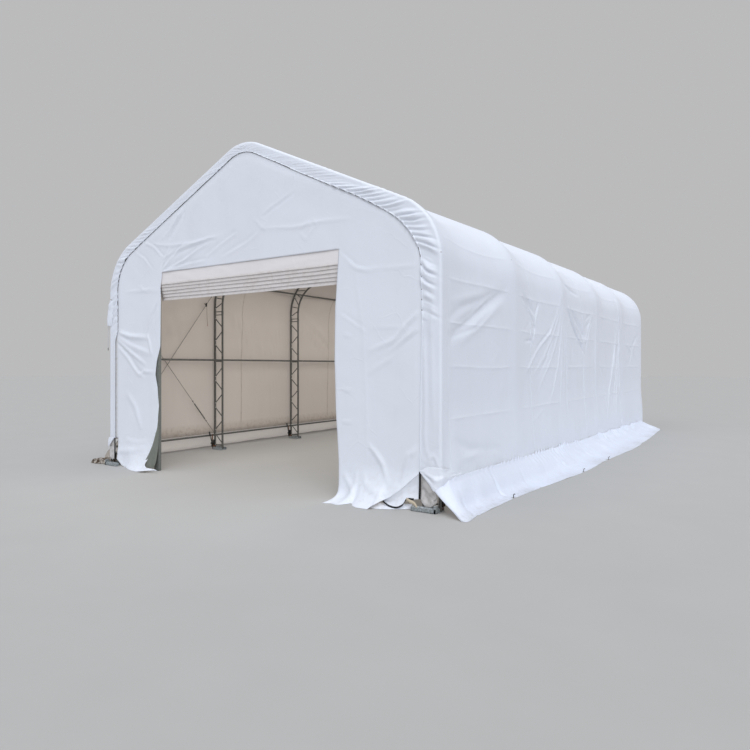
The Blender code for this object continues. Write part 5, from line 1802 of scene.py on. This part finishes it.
for number, y in enumerate(TRUSS_YS):
    for side, turn in (("right", 0.0), ("left", math.pi)):
        for half, source in (("leg", leg_mesh), ("rafter", rafter_mesh)):
            node = f"truss_{number + 1}_{side}_{half}"
            mesh = source.copy()
            mesh.transform(Matrix.Translation((0.0, y, 0.0)) @ Matrix.Rotation(turn, 4, "Z"))
            steel_piece(f"{node}_tubes", mesh, node)
print("faces of a leg", len(leg_mesh.polygons), "of a rafter", len(rafter_mesh.polygons))

# %% [markdown]
# The tension tube lies in a pocket of the cover, and at every leg a ratchet pulls it down with a
# strap of webbing round the foot of the chord. The ratchet is a folded frame, a slotted spool and
# a long handle that leans forward. Pegs of bent rod hold the right skirt.

# %% Ratchets, straps and channels
TUBE_X = HALF_WIDTH - 0.004 + WALL_TUBE / 2
TUBE_Z = 0.27
RATCHET_X = 3.03
RATCHET_ASIDE = 0.052
HANDLE = ((0.0, 0.12), (0.02, 0.185), (0.05, 0.27), (0.067, 0.335))
PEGS = ((3.425, -4.36), (3.622, -1.99), (3.64, -0.5))


def ratchet(sign, y, lean):
    """Frame, spool and handle of one ratchet beside a chord; lean turns the handle forward."""
    x = sign * RATCHET_X
    parts = []
    for side in (-0.024, 0.02):
        low, high = (x - 0.02, y + side, 0.05), (x + 0.02, y + side + 0.003, 0.185)
        parts.append(block(low, high, ratchet_black, 0.001))
    handle = [(x, y - 0.028 - lean * ahead, z) for ahead, z in HANDLE]
    other = [(px, py + 0.016, pz + 0.006) for px, py, pz in handle]
    grip = [(px, py + 0.008, pz + 0.003) for px, py, pz in handle[2:]]
    return parts + bars(
        ratchet_black,
        (0.022, 14, (x, y - 0.034, 0.12), (x, y + 0.034, 0.12)),
        (0.008, 10, (x, y - 0.03, 0.062), (x, y + 0.03, 0.062)),
        (0.009, 10, *handle),
        (0.009, 10, *other),
        *((0.008, 8, *ends) for ends in zip(handle[1:], other[1:])),
        (0.024, 12, *grip),
        (0.03, 14, (x - 0.012, y - 0.036, 0.12), (x + 0.012, y - 0.036, 0.12)),
    )


def strap(sign, y):
    """Webbing from the tube down through the ratchet and round the foot of the chord."""
    parts = []
    for low, high, out in ((0.118, TUBE_Z + 0.018, 0.0165), (0.016, 0.12, 0.004)):
        inner, outer = sign * (RATCHET_X + out), sign * (RATCHET_X + out + 0.003)
        parts.append(block((inner, y - 0.014, low), (outer, y + 0.014, high), webbing, 0.0008))
    inner, outer = sign * (RATCHET_X - 0.03), sign * (RATCHET_X + 0.008)
    return parts + [block((inner, y - 0.016, 0.0515), (outer, y + 0.045, 0.0745), webbing, 0.003)]


def front_channel(sign):
    """The short channel in front of a first leg, with a bar in it and a plate at its end."""
    inner, outer, front = sign * 2.72, sign * 3.032, FRONT_Y - 0.122
    parts = [
        block((inner, front, 0.0), (outer, front + 0.06, 0.008), plate_steel),
        block((inner, front, 0.0), (outer, front + 0.006, 0.048), plate_steel),
        block((sign * 3.006, front, 0.0), (outer, front + 0.062, 0.086), plate_steel),
    ]
    ends = [(x, front + 0.028, 0.034) for x in (inner + sign * 0.004, outer - sign * 0.004)]
    return parts + bars(plate_steel, (0.04, 18, *ends))


print("tension tubes at x", round(TUBE_X, 3), "z", TUBE_Z)

# %% [markdown]
# At the first leg the ratchet stands behind the chord, at the others before it.

# %% Tension tubes
beside = [y + (RATCHET_ASIDE if y == FRONT_Y else -RATCHET_ASIDE) for y in TRUSS_YS]
for side, sign in (("left", -1), ("right", 1)):
    node = f"tension_tube_{side}"
    line = [(sign * TUBE_X, y, TUBE_Z) for y in (FRONT_Y + 0.02, -FRONT_Y - 0.06)]
    steel_piece(f"{node}_bar", tubes([line], WALL_TUBE, 18, truss_steel), node)
    ratchets = [part for y in beside for part in ratchet(sign, y, 0.2 if y < FRONT_Y + 0.1 else 1.0)]
    steel_piece(f"{node}_ratchets", merged("ratchets", ratchets), node)
    straps = [part for y in beside for part in strap(sign, y)]
    steel_piece(f"{node}_straps", merged("straps", straps), node)
for side, sign in (("left", -1), ("right", 1)):
    steel_piece(f"front_channel_{side}", merged("channel", front_channel(sign)), f"truss_1_{side}_leg")
PEG_BEND = ((0.0, 0.0), (0.002, 0.04), (0.012, 0.052), (0.022, 0.046))
pegs = bars(truss_steel, *((0.011, 10, *((x + out, y, z) for out, z in PEG_BEND)) for x, y in PEGS))
steel_piece("skirt_pegs", merged("pegs", pegs), "side_skirt_right")
print("tension tubes dressed")

# %% [markdown]
# Two wire ropes cross in the first bay of each side. One ends in a small ratchet tensioner with
# its tail hanging, the other has an open turnbuckle near its foot.

# %% Cable bracing
FIRST = FRONT_Y + CHORD / 2 + 0.015
SECOND = FIRST + BAY - CHORD - 0.03
CABLE = 0.008
EYE = 0.0235
LOW_HOOK = 0.3
RISING_TOP = 3.1
FALLING_TOP = 2.85
TENSIONER = 0.885
TURNBUCKLE = (0.1, 0.26)


def cable_end(sign, y, height, behind=0.0):
    """A cable's end; the ends lie in a plane that leans in with height."""
    return np.array((sign * (HALF_WIDTH - 0.055 - behind - 0.015 * (height - LOW_HOOK)), y, height))


def hook(sign, end, station, to_y):
    """An eye round the chord and a shackle to the cable."""
    x, _, z = on_arch(station, OUTER_CHORD)
    x *= sign
    turns = np.linspace(0.0, math.tau, 17)
    ring = [(x + EYE * math.cos(t), to_y + EYE * math.sin(t), z + 0.004 * math.cos(t)) for t in turns]
    link = [(x - sign * 0.008, to_y + math.copysign(EYE, end[1] - to_y), z), end]
    return bars(truss_steel, (0.006, 8, *ring), (0.009, 8, *link))


def turnbuckle(start, end):
    """An open turnbuckle between two points: frame rods, end nuts and eyes."""
    along = (end - start) / np.linalg.norm(end - start)
    aside = np.cross(along, (1.0, 0.0, 0.0))
    aside = aside / np.linalg.norm(aside)
    nuts = (start + along * 0.075, end - along * 0.095)
    rows = [(0.006, 8, *(nut + aside * s for nut in nuts)) for s in (-0.0085, 0.0085)]
    rows += [(0.022, 6, nut - along * 0.012, nut + along * 0.012) for nut in nuts]
    turns = np.linspace(0.0, math.tau, 13)
    for place, way in ((start, along), (end, -along)):
        eye = [place + way * (0.016 + 0.014 * math.cos(t)) + aside * 0.012 * math.sin(t) for t in turns]
        rows += [(0.006, 8, *eye), (0.006, 8, place + way * 0.028, place + way * 0.085)]
    return bars(truss_steel, *rows)


for side, sign in (("left", -1), ("right", 1)):
    tops = [on_arch(station, OUTER_CHORD)[2] for station in (RISING_TOP, FALLING_TOP)]
    rising = (cable_end(sign, FIRST, LOW_HOOK), cable_end(sign, SECOND, tops[0]))
    falling = (cable_end(sign, SECOND, LOW_HOOK, 0.002), cable_end(sign, FIRST, tops[1], 0.002))
    node = f"front_brace_{side}"
    steel_piece(f"brace_{side}_cables", tubes([rising, falling], CABLE, 10, wire_rope), node)
    fittings = hook(sign, rising[0], LOW_HOOK, FRONT_Y) + hook(sign, rising[1], RISING_TOP, FRONT_Y + BAY)
    fittings += hook(sign, falling[0], LOW_HOOK, FRONT_Y + BAY)
    fittings += hook(sign, falling[1], FALLING_TOP, FRONT_Y)
    middle = rising[0] + (rising[1] - rising[0]) * TENSIONER
    size = np.array((0.006, 0.014, 0.036))
    fittings.append(block(middle - size, middle + size, ratchet_black))
    lever = [middle + off for off in ((0.0, -0.012, -0.02), (0.0, -0.036, 0.012), (0.0, -0.04, 0.03))]
    spool = [middle + off for off in ((-0.014, 0.0, 0.012), (0.014, 0.0, 0.012))]
    fittings += bars(ratchet_black, (0.02, 12, *spool), (0.008, 8, *lever))
    fittings += turnbuckle(*(falling[0] + (falling[1] - falling[0]) * share for share in TURNBUCKLE))
    steel_piece(f"brace_{side}_fittings", merged("fittings", fittings), node)
print("bracing dressed")

# %% [markdown]
# The posts, the header, the purlins and the rear draw rope have the right shape already in the
# model of the solids. They stay, and only get their finish. The front draw rope follows its hem.

# %% Finishes of the parts that stay
KEPT = {
    "door_post": post_paint, "door_header": post_paint, "purlin": truss_steel,
    "draw_rope_rear": seam_rope,
}
for name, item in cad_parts.items():
    for part, finish in KEPT.items():
        if part in name:
            for slot in item.material_slots:
                slot.material = finish
rope_mesh = tubes([rope_route], ROPE_IN_HEM, 10, seam_rope)
steel_piece("draw_rope_front_line", rope_mesh, "draw_rope_front")
print("kept parts painted")

# %% [markdown]
# Hook tape edges the corner flap and stands along the slits beside the corners, and an end of
# webbing lies over the foot of the channel. They are flat ribbons that follow a line.

# %% Hook tape and webbing at the front corners
TAPE = 0.0025


def ribbon(name, path, across, width, thickness, finish, count=40):
    """A flat band along a smooth path, width wide in the direction across."""
    line = spline_points(path, count)
    half = np.array(across) / np.linalg.norm(across) * width / 2
    mesh = grid_mesh(name, np.stack([line - half, line, line + half], axis=1))
    mesh.materials.append(finish)
    item = placed(name, mesh)
    thicken(item, thickness, 0.0)
    on_frame(item)


tape_path = [(x, y - 0.003, z + 0.004) for x, y, z in FLAP_EDGE[:6]]
ribbon("flap_tape", tape_path, (0.0, 0.25, 1.0), 0.02, TAPE, hook_tape, 60)
slit_path = [(2.797, -5.548, 0.428), (2.802, -5.558, 0.27), (2.802, -5.566, 0.125)]
ribbon("slit_tape", slit_path, (1.0, 0.1, 0.0), 0.024, TAPE, hook_tape)
web_path = [(2.655, -5.606, 0.118), (2.7, -5.625, 0.11), (2.77, -5.625, 0.085), (2.8, -5.615, 0.04)]
ribbon("webbing_end", web_path, (0.0, 0.3, 1.0), 0.034, 0.003, pale_webbing)
left_path = [(-2.868, -5.55, 0.44), (-2.862, -5.554, 0.28), (-2.856, -5.56, 0.12)]
ribbon("slit_tape_left", left_path, (1.0, 0.1, 0.0), 0.026, TAPE, hook_tape)
print("tape and webbing laid")

# %% [markdown]
# The two loose cords ride on the frame: half a metre of rope, and the tail of the tensioner strap, each with
# its sleeve at the end.

# %% Cords
CORD_FINISHES = (
    (hanging_rope, grey_rope, "hanging_rope"), (brace_tail, tail_webbing, "brace_tail"),
    (rope_tip, seam_rope, None), (tail_tip, red_tip, None),
)
for cord, finish, node in CORD_FINISHES:
    cord.data.materials.append(finish)
    on_frame(cord, node)
print("loose cords:", hanging_rope.name, brace_tail.name)

# %% [markdown]
# At the end the box of the looks is measured and printed.

# %% Sizes and finish
low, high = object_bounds()
print("box of the visual model", [round(v, 3) for v in (*low, *high)])
